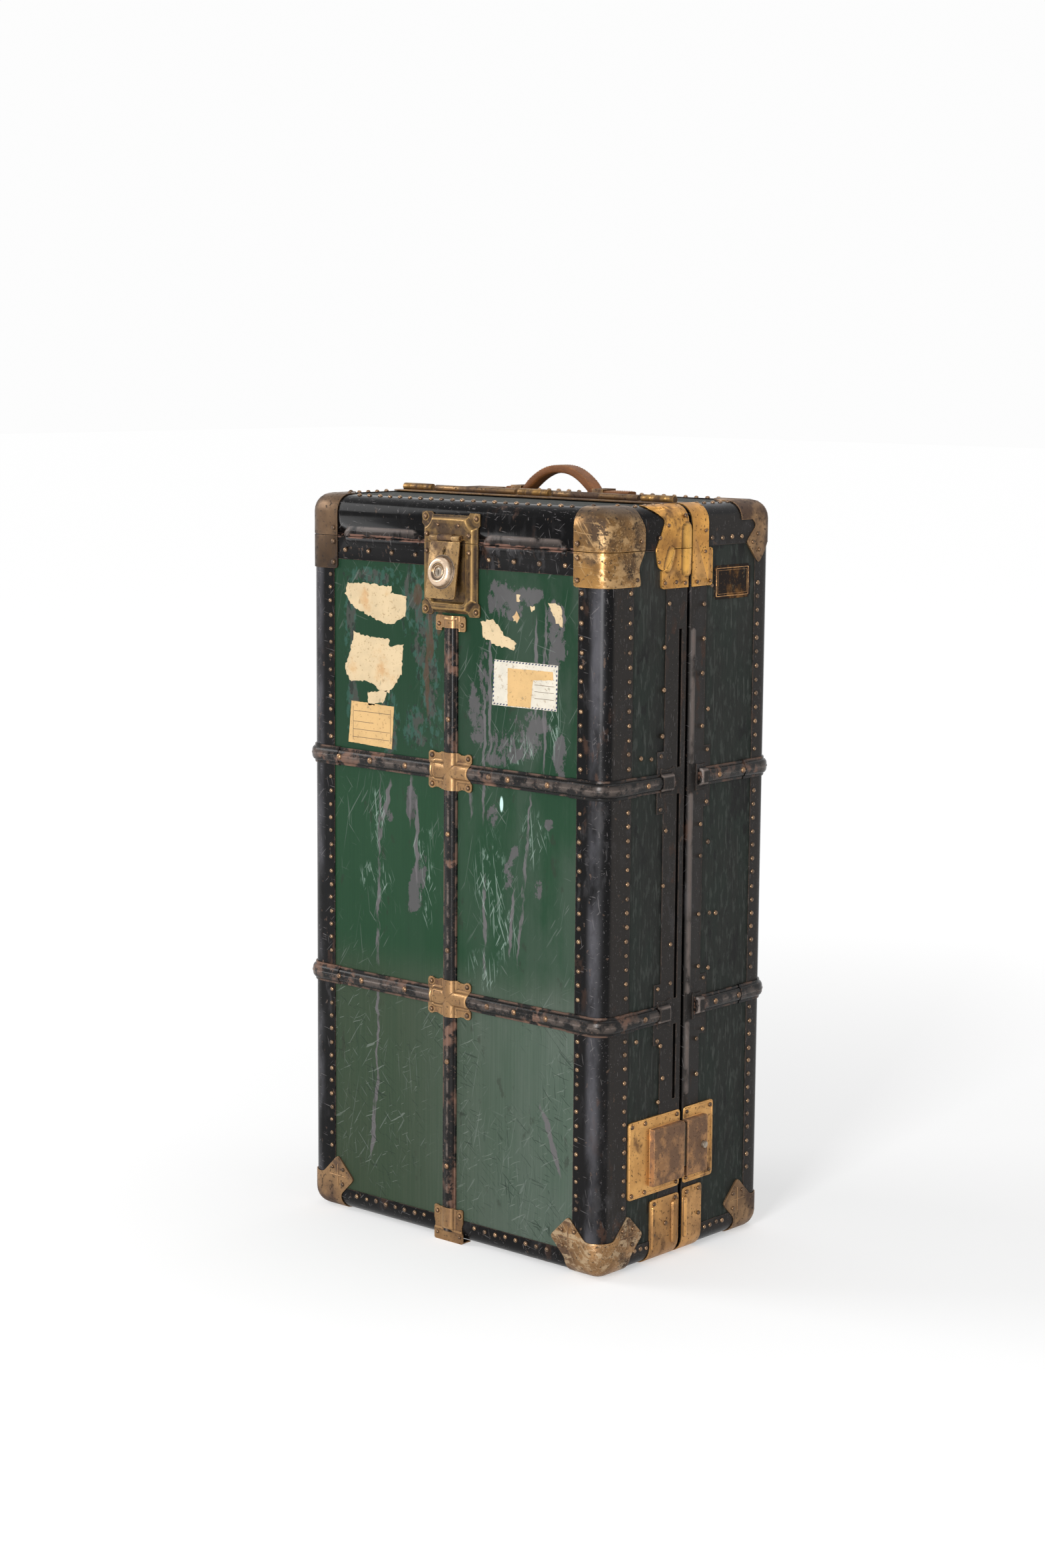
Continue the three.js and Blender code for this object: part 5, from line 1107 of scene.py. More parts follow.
def head_tree(name):
    """Domes on points. Inputs: radius, height, stretch, finish and seed."""
    tree = bpy.data.node_groups.new(name, "GeometryNodeTree")
    face = tree.interface
    face.new_socket("Points", in_out="INPUT", socket_type="NodeSocketGeometry")
    for label, value in (("Radius", 0.003), ("Height", 0.0018), ("Stretch", 1.0)):
        made = face.new_socket(label, in_out="INPUT", socket_type="NodeSocketFloat")
        made.default_value = value
    face.new_socket("Finish", in_out="INPUT", socket_type="NodeSocketMaterial")
    seed = face.new_socket("Seed", in_out="INPUT", socket_type="NodeSocketInt")
    seed.default_value = 1
    face.new_socket("Heads", in_out="OUTPUT", socket_type="NodeSocketGeometry")
    given = tree.nodes.new("NodeGroupInput").outputs
    ball = put(tree, "GeometryNodeMeshUVSphere", Segments=10, Rings=6, Radius=1.0)
    long = compute(tree, "MULTIPLY", given["Radius"], given["Stretch"])
    size = put(tree, "ShaderNodeCombineXYZ", X=long, Y=given["Radius"], Z=given["Height"])
    head = put(tree, "GeometryNodeTransform", Geometry=ball.outputs[0], Scale=size.outputs[0]).outputs[0]
    outward, along, scale = (
        put(tree, "GeometryNodeInputNamedAttribute", {"data_type": kind}, Name=label).outputs["Attribute"]
        for label, kind in (("outward", "FLOAT_VECTOR"), ("along", "FLOAT_VECTOR"), ("size", "FLOAT"))
    )
    stood = put(tree, "FunctionNodeAlignRotationToVector", {"axis": "Z"}, Vector=outward)
    turned = put(
        tree, "FunctionNodeAlignRotationToVector", {"axis": "X", "pivot_axis": "Z"},
        Rotation=stood.outputs[0], Vector=along,
    )
    uneven = put(tree, "FunctionNodeRandomValue", {"data_type": "FLOAT"}, Seed=given["Seed"])
    uneven.inputs[2].default_value, uneven.inputs[3].default_value = HEAD_SIZES
    placed = put(
        tree, "GeometryNodeInstanceOnPoints", Points=given["Points"], Instance=head,
        Rotation=turned.outputs[0], Scale=compute(tree, "MULTIPLY", scale, uneven.outputs[1]),
    )
    real = put(tree, "GeometryNodeRealizeInstances", Geometry=placed.outputs[0])
    smooth = put(tree, "GeometryNodeSetShadeSmooth", Geometry=real.outputs[0])
    painted = put(tree, "GeometryNodeSetMaterial", Geometry=smooth.outputs[0], Material=given["Finish"])
    out = tree.nodes.new("NodeGroupOutput")
    tree.links.new(painted.outputs[0], out.inputs["Heads"])
    return tree


heads = head_tree("heads")


def scatter(name, points, body, slot, **values):
    """Runs the tree on points: a place in millimetres, a direction, a size and, for stitches, a run."""
    mesh = bpy.data.meshes.new(name + "_points")
    mesh.from_pydata([tuple(at(*point[0])) for point in points], [], [])
    runs = [point[3] if len(point) > 3 else UP if point[1][2] == 0 else RIGHT for point in points]
    for label, vectors in (("outward", [point[1] for point in points]), ("along", runs)):
        numbers = [number for vector in vectors for number in vector]
        mesh.attributes.new(label, "FLOAT_VECTOR", "POINT").data.foreach_set("vector", numbers)
    carrier = new_object(name + "_points", mesh)
    keep(carrier, size=[point[2] for point in points])
    modifier = carrier.modifiers.new(name, "NODES")
    modifier.node_group = heads
    for item in heads.interface.items_tree:
        if item.name in values:
            modifier[item.identifier] = values[item.name]
    bpy.context.view_layer.update()
    evaluated = carrier.evaluated_get(bpy.context.evaluated_depsgraph_get())
    result = bpy.data.meshes.new_from_object(evaluated)
    result.name = name
    bpy.data.objects.remove(carrier)
    made = new_object(name, result)
    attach(made, body)
    print(name, len(points), "heads,", len(result.polygons), "faces")


# %% [markdown]
# The rivets stand in rows along the bindings, 19.5 mm apart, and leave out the stretches that a band,
# a corner cap or a lock covers. The seam strips have fewer, at places read off the photograph.
# %% Lay out the rivets
PITCH = 19.5
ROW_IN = 6.5
BINDING_FACE, BINDING_REAR, BINDING_LID = 50.0, 41.0, 28.0
COVERED = [(height - 20, height + 20) for height in BAND_HEIGHTS.values()]
SHIFTS = (0.7, 0.7, 0.9)
rivets = {"front_shell": [], "rear_shell": [], "lift_top": []}
random.seed(11)


def rivet(body, x, y, z, outward, size=1.0):
    """One rivet, from its place on the trunk in millimetres."""
    rivets[body].append(((x, y, z), outward, size))


def row(body, start, end, outward, skips=(), along=2, pitch=PITCH):
    """Rivets from start to end, except where a skipped stretch covers them."""
    first, last = Vector(start), Vector(end)
    steps = max(1, round((last - first).length / pitch))
    for i in range(steps + 1):
        place = first.lerp(last, i / steps)
        if any(low < place[along] < high for low, high in skips):
            continue
        shift = [random.uniform(-reach, reach) * (not fixed) for reach, fixed in zip(SHIFTS, outward)]
        rivet(body, *(place + Vector(shift)), outward)


LEG_X = HALF - BINDING_FACE + ROW_IN
LEG_LOW, LEG_HIGH = 92.0, 924.0
BOTTOM_ROW, TOP_ROW = 26.0, SPLIT + 10
FRONT_ROW, BACK_ROW = 46.5, DEPTH - BINDING_REAR + ROW_IN
LID_ROW = BINDING_LID - ROW_IN
for side, outward in SIDES:
    x, leg_x, lid_x = side * HALF, side * LEG_X, side * (HALF - LID_ROW)
    row("front_shell", (leg_x, 0, LEG_LOW), (leg_x, 0, LEG_HIGH), FRONT, COVERED)
    row("front_shell", (x, FRONT_ROW, LEG_LOW), (x, FRONT_ROW, LEG_HIGH), outward, COVERED)
    row("front_shell", (x, 72, BOTTOM_ROW), (x, 98, BOTTOM_ROW), outward, pitch=13)
    row("rear_shell", (leg_x, DEPTH, LEG_LOW), (leg_x, DEPTH, LEG_HIGH), BACK, COVERED)
    row("rear_shell", (x, BACK_ROW, LEG_LOW), (x, BACK_ROW, LEG_HIGH), outward, COVERED)
    row("rear_shell", (x, REAR + 53, BOTTOM_ROW), (x, REAR + 93, BOTTOM_ROW), outward, pitch=13)
    row("rear_shell", (x, REAR + 45, TOP_ROW), (x, REAR + 111, TOP_ROW), outward, pitch=22)
    row("lift_top", (lid_x, 80, HEIGHT), (lid_x, 135, HEIGHT), UP, pitch=18)
    row("rear_shell", (lid_x, REAR + 36, HEIGHT), (lid_x, REAR + 106, HEIGHT), UP, pitch=18)
for body, reach, y, z, outward, skips in (
    ("front_shell", 182, 0, BOTTOM_ROW, FRONT, [(-33, 33)]), ("rear_shell", 182, DEPTH, BOTTOM_ROW, BACK, ()),
    ("rear_shell", 196, DEPTH, TOP_ROW, BACK, ()), ("lift_top", 196, LID_ROW, HEIGHT, UP, ()),
    ("rear_shell", 196, DEPTH - LID_ROW, HEIGHT, UP, ()),
):
    row(body, (-reach, y, z), (reach, y, z), outward, skips, along=0)
TOP_STRIP_ROW = 959.0
for x in (68, 113, 158, 203):
    for side in (-1, 1):
        rivet("front_shell", side * x, 0, TOP_STRIP_ROW, FRONT, 1.1)
print({body: len(found) for body, found in rivets.items()})

# %% Lay out the seam rivets
FRONT_SEAM_RIVETS = [
    (128, 906), (119, 848), (119, 791), (117, 729), (127, 600), (123, 525), (141, 442), (142, 388),
    (122, 304), (128, 258), (119, 226),
]
REAR_SEAM_RIVETS = [
    (29, 901), (30, 854), (28, 807), (29, 735), (29, 600), (30, 556), (28, 475), (29, 402), (28, 300),
    (29, 250),
]
LOOSE_FRONT = [(74, 703), (96, 700), (72, 318)]
LOOSE_REAR = [(43, 757), (48, 573), (54, 473), (68, 471), (53, 396), (47, 925)]
EAR_RIVET_DROP = 36.0
for side, outward in SIDES:
    panel = side * (HALF - PANEL_IN)
    for body, start, x, places, size in (
        ("front_shell", 0, side * HALF, FRONT_SEAM_RIVETS, 1.0),
        ("rear_shell", REAR, side * HALF, REAR_SEAM_RIVETS, 1.0),
        ("front_shell", 0, panel, LOOSE_FRONT, 1.05),
        ("rear_shell", REAR, panel, LOOSE_REAR, 1.05),
    ):
        for y, z in places:
            rivet(body, x, start + y, z, outward, size)
    for height in BAND_HEIGHTS.values():
        for up in (-EAR_RIVET_DROP, EAR_RIVET_DROP):
            rivet("front_shell", side * HALF, 115, height + up, outward)
            rivet("rear_shell", side * HALF, REAR + 41, height + up, outward)
for body, points in rivets.items():
    scatter(body + "_rivets", points, body, "brass", Radius=3.5 * MM, Height=2.8 * MM, Finish=rivet_copper)

# %% [markdown]
# Round-headed nails hold the brass. A lock or a clip has one in each ear, and a corner cap has three in
# each of its lobes. The bands are held by larger domes.
# %% Lay out the nails
PLATE = 1.8
nails = {"front_shell": [], "rear_shell": [], "lift_top": []}
domes = {"front_shell": [], "rear_shell": []}


def nail(body, x, y, z, outward, size=1.0):
    nails[body].append(((x, y, z), outward, size))


def dome(body, x, y, z, outward, size=1.0):
    domes[body].append(((x, y, z), outward, size))


CENTRE_DOMES = (738, 579, 416, 258, 108)
for z in CENTRE_DOMES:
    dome("front_shell", 0, -6.2, z, FRONT)
BAND_DOMES = {"upper": (-211, -150, -82, 75, 109, 180), "lower": (-212, -167, -82, 74, 123, 180)}
BAND_CREST = 5.8
for label, places in BAND_DOMES.items():
    height = BAND_HEIGHTS[label]
    for x in places:
        dome("front_shell", x, -BAND_CREST, height, FRONT)
        dome("rear_shell", x, DEPTH + BAND_CREST, height, BACK)
    for side, outward in SIDES:
        for body, y in (("front_shell", 82), ("rear_shell", REAR + 63), ("rear_shell", REAR + 116)):
            dome(body, side * (HALF + BAND_CREST), y, height, outward)

LOBE = [(45, 61), (67, 60), (66, 38)]
LOBE_TOP = [(38, 44), (49, 55), (34, 66)]
for side, outward in SIDES:
    for across, up in LOBE:
        nail("front_shell", side * (HALF - across), -PLATE, up, FRONT, 0.95)
        nail("front_shell", side * (HALF + PLATE), across, up, outward, 0.95)
        nail("rear_shell", side * (HALF - across), DEPTH + PLATE, up, BACK, 0.95)
        nail("rear_shell", side * (HALF + PLATE), DEPTH - across, up, outward, 0.95)
    for across, down in LOBE_TOP:
        nail("rear_shell", side * (HALF - across), DEPTH + PLATE, HEIGHT - down, BACK, 0.9)
        nail("rear_shell", side * (HALF + PLATE), DEPTH - across, HEIGHT - down, outward, 0.9)
    for body, inset, y, z, face, size in (
        ("front_shell", 51, -PLATE, SPLIT - 38, FRONT, 1.1),
        ("front_shell", 51, -PLATE, SPLIT - 9, FRONT, 1.1),
        ("front_shell", -PLATE, 58, SPLIT - 38, outward, 0.9),
        ("lift_top", -PLATE, 66, SPLIT + 12, outward, 0.9),
        ("lift_top", 51, -PLATE, SPLIT + 10, FRONT, 1.1), ("lift_top", 51, 30, HEIGHT + PLATE, UP, 0.9),
        ("lift_top", 30, 54, HEIGHT + PLATE, UP, 0.9),
    ):
        nail(body, side * (HALF - inset), y, z, face, size)

CATCH_NAILS = {
    "front_shell": [(62, 106), (62, 202), (90, 106), (90, 202), (159, 106), (159, 202), (112, 84), (158, 84),
                    (112, 40), (137, 52)],
    "rear_shell": [(7, 107), (7, 201), (59, 108), (59, 201), (36, 86), (9, 86), (37, 50)],
}
TOP_PLATE_NAILS = {
    "front_shell": [(116, 934), (159, 932), (140, 934)],
    "lift_top": [(122, 1010), (104, 994), (158, 1022), (103, 962)],
    "rear_shell": [(28, 1000), (28, 972), (11, 932), (40, 932)],
}
for table, size in ((CATCH_NAILS, 0.95), (TOP_PLATE_NAILS, 0.85)):
    for body, places in table.items():
        for y, z in places:
            nail(body, HALF + PLATE, REAR + y if body == "rear_shell" else y, z, RIGHT, size)
for kind in (nails, domes):
    print({body: len(places) for body, places in kind.items()})

# %% [markdown]
# The lock plates and the clips are thin brass pressed in a die: square ears for the nails, a raised
# middle with rolled shoulders, and channels that step over the bands. Each is cut from a fine grid to
# its outline, and a height is worked out for every point. Where the sheet bulges it is marked as rubbed
# and given a painted highlight, and where it dips it is marked as dirty and given painted shade, so
# that the finish can follow the form.
# %% Write the press


def smooth(low, high, value):
    """A soft step from 0 to 1."""
    share = max(0.0, min(1.0, (value - low) / (high - low)))
    return share * share * (3 - 2 * share)


def to_box(u, v, wide, tall, radius):
    """The distance from a rounded rectangle's edge: negative inside."""
    over, up = abs(u) - wide + radius, abs(v) - tall + radius
    return math.hypot(max(over, 0), max(up, 0)) + min(max(over, up), 0) - radius


def front_place(u, v, out):
    return at(u, -out, v)


def right_place(u, v, out):
    return at(HALF + out, u, v)


def left_place(u, v, out):
    return at(-HALF - out, u, v)


PRESS_STEP = 1.3
SLOPE_STEP, BEND_STEP = 0.1, 1.6


def press(outline, height, reach, back=0.0, place=front_place, step=PRESS_STEP):
    """A closed sheet: its points, its faces, and how bulged and how dipped each point is."""
    u0, u1, v0, v1 = reach
    across, up = math.ceil((u1 - u0) / step), math.ceil((v1 - v0) / step)
    du, dv = (u1 - u0) / across, (v1 - v0) / up
    kept, points, bulge, dip = {}, [], [], []
    for i in range(across + 1):
        for j in range(up + 1):
            u, v = u0 + i * du, v0 + j * dv
            edge = outline(u, v)
            if edge > step * 0.5:
                continue
            if edge > -step * 0.5:
                slope_u = (outline(u + SLOPE_STEP, v) - outline(u - SLOPE_STEP, v)) / (2 * SLOPE_STEP)
                slope_v = (outline(u, v + SLOPE_STEP) - outline(u, v - SLOPE_STEP)) / (2 * SLOPE_STEP)
                steep = max(0.2, slope_u * slope_u + slope_v * slope_v)
                u, v = u - slope_u * edge / steep, v - slope_v * edge / steep
            kept[i, j] = len(points)
            here = height(u, v)
            around = height(u + BEND_STEP, v) + height(u - BEND_STEP, v)
            around += height(u, v + BEND_STEP) + height(u, v - BEND_STEP)
            bend = (around - 4 * here) / BEND_STEP
            points.append((u, v, here))
            bulge.append(max(0.0, min(1.0, -bend)))
            dip.append(max(0.0, min(1.0, bend)))
    faces = []
    for (i, j), a in list(kept.items()):
        corners = [kept.get(key) for key in ((i + 1, j), (i + 1, j + 1), (i, j + 1))]
        if None not in corners:
            faces.append((a, *corners))
    used = sorted({index for face in faces for index in face})
    number = {old: new for new, old in enumerate(used)}
    count = len(used)
    front = [tuple(number[i] for i in face) for face in faces]
    rear = [tuple(number[i] + count for i in face)[::-1] for face in faces]
    edges = [pair for face in front for pair in zip(face, (*face[1:], face[0]))]
    inner = set(edges)
    walls = [(b, a, a + count, b + count) for a, b in edges if (b, a) not in inner]
    verts = [place(*points[i]) for i in used] + [place(points[i][0], points[i][1], back) for i in used]
    marks = [bulge[i] for i in used] + [0.0] * count, [dip[i] for i in used] + [0.0] * count
    return verts, front + rear + walls, marks


def pressed_piece(name, pressed, finish, body, node=None, slot="brass"):
    """A piece of pressed sheet, which may stand for a CAD node."""
    verts, faces, (bulge, dip) = pressed
    keep(new_piece(name, verts, faces, finish, body, slot, node), crest=bulge, hollow=dip)


def nail_ring(u, v, radius, rise=0.4, width=1.4):
    """A low ring pressed round a nail's place."""
    return rise * smooth(width, 0.2, abs(math.hypot(u, v) - radius))


# %% Press the lock plates
LOCK_HALF, LOCK_SHOULDER = 53.0, 48.6
LOCK_LOW = trunk_place(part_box("lock_plate_lower")[0]).z
LOCK_HIGH = trunk_place(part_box("lock_plate_upper")[1]).z
LOCK_MIDDLE, LOCK_TALL = (LOCK_LOW + LOCK_HIGH) / 2, (LOCK_HIGH - LOCK_LOW) / 2
LOCK_PROUD = 6.3
RECESS_HALF, RECESS_LOW = 31.0, LOCK_LOW + 18
BARREL_OUT, BARREL_Z, BARREL_RADIUS, BARREL_HALF = 12.0, SPLIT + 7.5, 4.5, 13.0


def lock_outline(u, v):
    up = v - LOCK_MIDDLE
    plate = to_box(u, up, LOCK_HALF, LOCK_TALL, 3)
    flank = to_box(abs(u) - 62, up, 62 - 49.4, LOCK_TALL - 17, 5)
    ends = to_box(u, abs(up) - LOCK_TALL - 6, 35, 9.6, 5)
    return max(plate, -flank, -ends)


def lock_height(u, v):
    up = v - LOCK_MIDDLE
    ear = math.hypot(abs(u) - 50.5, abs(up) - (LOCK_TALL - 3)) - 15.5
    panel = max(to_box(u, up, LOCK_SHOULDER, LOCK_TALL - 3.5, 6), -ear)
    out = PLATE + LOCK_PROUD * smooth(0, 6.5, -panel) - 0.9 * smooth(9, 15, -panel)
    if v < SPLIT + 4:
        pit = to_box(u, v - (RECESS_LOW + SPLIT + 40) / 2, RECESS_HALF, (SPLIT + 40 - RECESS_LOW) / 2, 5)
        out -= (out - 3.1) * smooth(-1.2, 1.6, -pit)
        out += 0.8 * smooth(4.2, 1.4, abs(pit - 2.6))
    near = abs(v - BARREL_Z)
    if abs(u) < 28 and near < BARREL_RADIUS + 1.2:
        out = min(out, BARREL_OUT - math.sqrt((BARREL_RADIUS + 1.2) ** 2 - near * near))
    return out + nail_ring(abs(u) - 47, abs(up) - (LOCK_TALL - 7), 5.2, 0.5, 1.6)


def upper_half(u, v):
    return max(lock_outline(u, v), SPLIT + 1 - v)


def lower_half(u, v):
    return max(lock_outline(u, v), v - SPLIT)


for node, half, low, high, body in (
    ("lock_plate_upper", upper_half, SPLIT + 1, LOCK_HIGH, "lift_top"),
    ("lock_plate_lower", lower_half, LOCK_LOW, SPLIT, "front_shell"),
):
    pressed = press(half, lock_height, (-LOCK_HALF, LOCK_HALF, low, high))
    pressed_piece(node + "_dressed", pressed, lock_brass, body, node)
print("lock", round(LOCK_LOW), "to", round(LOCK_HIGH))

# %% [markdown]
# The hasp hangs on a barrel of three knuckles. It stands off the plate at its lower end, because the
# lock case behind it fills the recess. A dome with a dished middle surrounds the key's cylinder. The
# dome is turned: one outline carried round the cylinder's axis.
# %% Turn the dome and the barrel
HASP_LEAN = math.radians(8)


def on_hasp(x, down, out):
    """A point of the leaning hasp, from distances down its plate and out of it."""
    back = -BARREL_OUT - out * math.cos(HASP_LEAN) - down * math.sin(HASP_LEAN)
    up = BARREL_Z + out * math.sin(HASP_LEAN) - down * math.cos(HASP_LEAN)
    return at(x, back, up)


def turned(outline, place, sides):
    """An outline of (radius, out) points carried round an axis, closed at both ends."""
    verts = []
    for radius, out in outline:
        for i in range(sides):
            angle = 2 * math.pi * i / sides
            verts.append(place(radius * math.cos(angle), radius * math.sin(angle), out))
    return verts, loft(len(outline), sides, last_turned=False)


def gather(name, parts, finish, body, slot):
    """Joins several parts in one piece."""
    verts, faces = [], []
    for part in parts:
        base = len(verts)
        verts.extend(part[0])
        faces.extend([tuple(base + i for i in face) for face in part[1]])
    return new_piece(name, verts, faces, finish, body, slot)


DOME = [
    (23.6, 0.0), (23.4, 0.7), (22.2, 1.2), (21.5, 2.0), (21.1, 3.6), (20.3, 5.8), (19.0, 7.8), (17.2, 9.2),
    (15.2, 9.9), (13.2, 9.9), (11.6, 9.2), (10.4, 8.2), (9.6, 7.7), (8.9, 8.0), (8.4, 8.6), (7.8, 8.8),
    (7.2, 8.5), (7.0, 7.6), (7.0, 0.0),
]
KEY_DROP, SLOT_DROP = 47.0, 19.0
HASP_FACE = 1.0


def ring_faces(rows, count):
    """The faces of a tube whose last row of points joins its first."""
    faces = []
    for i in range(rows):
        a, b = i * count, (i + 1) % rows * count
        for k in range(count):
            n = (k + 1) % count
            faces.append((a + k, a + n, b + n, b + k))
    return faces


def hasp_ring(outline, drop, sides, stretch=(1, 1)):
    """A ring on the hasp's plate, so far down it, whose outline's ends join each other."""
    verts = []
    for i in range(sides):
        angle = 2 * math.pi * i / sides
        across, up = math.cos(angle), math.sin(angle)
        for radius, out in outline:
            place = (radius * across * stretch[0], drop - radius * up * stretch[1])
            verts.append(on_hasp(*place, HASP_FACE + out))
    return verts, ring_faces(sides, len(outline))


DOME_SIDES = 56
hasp_dome = gather("hasp_dome", [hasp_ring(DOME, KEY_DROP, DOME_SIDES)], dome_worn, "hasp", "brass")
# The dome is brighter on its crown, and darker in its dish and round its foot.
crown_rings = [float(13 < radius < 20) for radius, out in DOME]
dish_and_foot_rings = [float(8.9 < radius < 11.7 or radius > 22) for radius, out in DOME]
keep(hasp_dome, crest=crown_rings * DOME_SIDES, hollow=dish_and_foot_rings * DOME_SIDES)
SLOT_RIM = [(4.4, 0.0), (4.2, 0.5), (3.6, 0.7), (3.0, 0.5), (2.8, 0.0)]
gather("hasp_slot_rim", [hasp_ring(SLOT_RIM, SLOT_DROP, 24, (0.75, 1.6))], lock_brass, "hasp", "brass")
KNUCKLE = [
    (4.5, -BARREL_HALF), (BARREL_RADIUS, -BARREL_HALF + 0.5), (BARREL_RADIUS, BARREL_HALF - 0.5),
    (4.2, BARREL_HALF),
]
PIN = [(2.0, -27.0), (2.0, 27.0)]


def barrel_place(u, v, run):
    """A point round the hasp's hinge."""
    return at(run, -BARREL_OUT - u, BARREL_Z + v)


def slab(x0, x1, y0, y1, z0, z1):
    """A plain block's points and faces."""
    verts = [at(x, y, z) for z in (z0, z1) for y in (y0, y1) for x in (x0, x1)]
    faces = [(0, 2, 3, 1), (4, 5, 7, 6), (0, 1, 5, 4), (2, 6, 7, 3), (0, 4, 6, 2), (1, 3, 7, 5)]
    return verts, faces


gather(
    "lock_barrel", [
        turned(KNUCKLE, barrel_place, 24), turned(PIN, barrel_place, 12),
        slab(-12.5, 12.5, -BARREL_OUT, -6.4, BARREL_Z + 1.0, BARREL_Z + 4.4),
    ], hinge_brass, "lift_top", "brass",
)
print("hasp dressed")

# %% Press the clips
CLIP_HALF, CLIP_TALL = 40.0, 26.0


def over_band(across):
    """How far a clip stands out where it passes over a band."""
    across = abs(across)
    if across < 9.6:
        return PLATE + 1.0 + 5.3 * math.sqrt(max(0.0, 1 - (across / 9.9) ** 2)) ** 0.9
    return PLATE + 1.0 * smooth(14.5, 12.5, across)


def cross_clip(middle):
    """A clip over the crossing of two bands."""

    def outline(u, v):
        up = v - middle
        plate = to_box(u, up, CLIP_HALF, CLIP_TALL, 4)
        right = math.hypot(u - CLIP_HALF - 17, up) - 22.5
        left = math.hypot(u + CLIP_HALF + 30, up) - 32.5
        ends = math.hypot(abs(u) - 24, abs(up) - CLIP_TALL - 12) - 14.2
        return max(plate, -right, -left, -ends)

    def height(u, v):
        up = v - middle
        level_run = PLATE + (over_band(up) - PLATE) * smooth(39, 33, abs(u))
        tall_run = over_band(u)
        out = max(PLATE, level_run, tall_run)
        if u < -12:
            nest = to_box(u + 12, up, 19, 14, 4)
            out += 0.9 * smooth(1.5, 0.3, abs(nest)) + 0.7 * smooth(1.4, 0.3, abs(nest + 4.2))
        return out + nail_ring(abs(u) - 33.5, abs(up) - 20, 4.9, width=1.5)

    return press(outline, height, (-CLIP_HALF, CLIP_HALF, middle - CLIP_TALL, middle + CLIP_TALL))


for label, height in BAND_HEIGHTS.items():
    node = "cross_clip_" + label
    pressed_piece(node + "_dressed", cross_clip(height), clip_brass, "front_shell", node)
    for x in (-33.5, 33.5):
        for up in (-20, 20):
            nail("front_shell", x, -PLATE, height + up, FRONT, 1.15)


def lock_clip():
    low, high = LOCK_LOW - 21, LOCK_LOW

    def outline(u, v):
        body = to_box(u, v - (low + high) / 2, 27.5, (high - low) / 2, 3)
        notch = math.hypot(abs(u) - 33, v - high - 1) - 7
        foot = to_box(u, v - low - 1, 16, 3.4, 2)
        return max(body, -notch, -foot)

    def height(u, v):
        bars = 0.7 * smooth(1.6, 0.3, abs(abs(u) - 15.5))
        out = over_band(u) + (bars + 0.9 * smooth(2.2, 0.4, abs(v - high + 4)) * (abs(u) < 12))
        return out + nail_ring(abs(u) - 21.5, v - low - 9, 4.4)

    return press(outline, height, (-27.5, 27.5, low, high))


pressed_piece("lock_clip_dressed", lock_clip(), clip_brass, "front_shell", "lock_clip")


def bottom_clip():
    low, high = -1.8, 48.0

    def outline(u, v):
        body = to_box(u, v - (low + high) / 2, 27, (high - low) / 2, 3)
        top = math.hypot(abs(u) - 15.5, v - high - 8) - 9.5
        flank = math.hypot(abs(u) - 27 - 14, v - 20) - 16
        return max(body, -top, -flank)

    def height(u, v):
        out = PLATE + (over_band(u) - PLATE) * smooth(13, 20, v) + 0.9 * smooth(2.4, 0.6, abs(v - 15))
        return out + nail_ring(abs(u) - 21, v - 39, 4.6)

    return press(outline, height, (-27, 27, low, high))


pressed_piece("bottom_clip_dressed", bottom_clip(), clip_brass, "front_shell", "bottom_clip")
gather("bottom_clip_under", [slab(-24, 24, 1, 18, -1.8, -0.2)], clip_brass, "front_shell", "brass")
for x in (-21, 21):
    nail("front_shell", x, -PLATE, 39, FRONT, 1.1)
    nail("front_shell", x, -PLATE, 8, FRONT, 0.8)
    nail("front_shell", x * 1.02, -PLATE, LOCK_LOW - 12, FRONT, 1.05)
for x in (-46.5, 46.5):
    nail("lift_top", x, -PLATE, LOCK_HIGH - 7, FRONT, 1.15)
    nail("front_shell", x, -PLATE, LOCK_LOW + 7, FRONT, 1.15)
for x in (-39, 39):
    nail("lift_top", x, -8, SPLIT + 11, FRONT, 1.1)
    nail("front_shell", x, -8, SPLIT - 12, FRONT, 1.1)
for x in (-19, 19):
    nail("lift_top", x, -7.2, SPLIT + 24, FRONT, 0.75)
for body, points in nails.items():
    scatter(body + "_nails", points, body, "brass", Radius=3.5 * MM, Height=3.0 * MM, Finish=nail_bronze)
for body, points in domes.items():
    scatter(body + "_domes", points, body, "brass", Radius=4.3 * MM, Height=2.8 * MM, Finish=dome_brass)
print("clips pressed")

# %% [markdown]
# Ribs and pockets stiffen the sheet metal as well. Each rib is a low rounded bar that stands out of its
# plate: crossed ribs on a cap's lobes and long ribs on the feet. A pocket holds the end of each band at
# the seam: a flared plate with a raised middle.
# %% Press the ribs and pockets


def bar(length, width, proud, along, outward, centre):
    """A rounded bar's points and faces, half sunk in its plate."""
    side = Vector(along).cross(Vector(outward))
    ring, rings = 10, 5
    verts = []
    for end in (-1, 1):
        for step in range(rings + 1):
            tilt = math.pi / 2 * (1 - step / rings if end < 0 else step / rings)
            run = end * ((length - width) / 2 + width / 2 * math.sin(tilt))
            size = math.cos(tilt)
            if step == (0 if end < 0 else rings):
                size = 0.02
            for i in range(ring):
                angle = 2 * math.pi * i / ring
                offset = side * (math.cos(angle) * width / 2 * size)
                lift = Vector(outward) * (math.sin(angle) * proud * size)
                verts.append(at(*(Vector(centre) + Vector(along) * run + offset + lift)))
    return verts, loft(len(verts) // ring, ring)


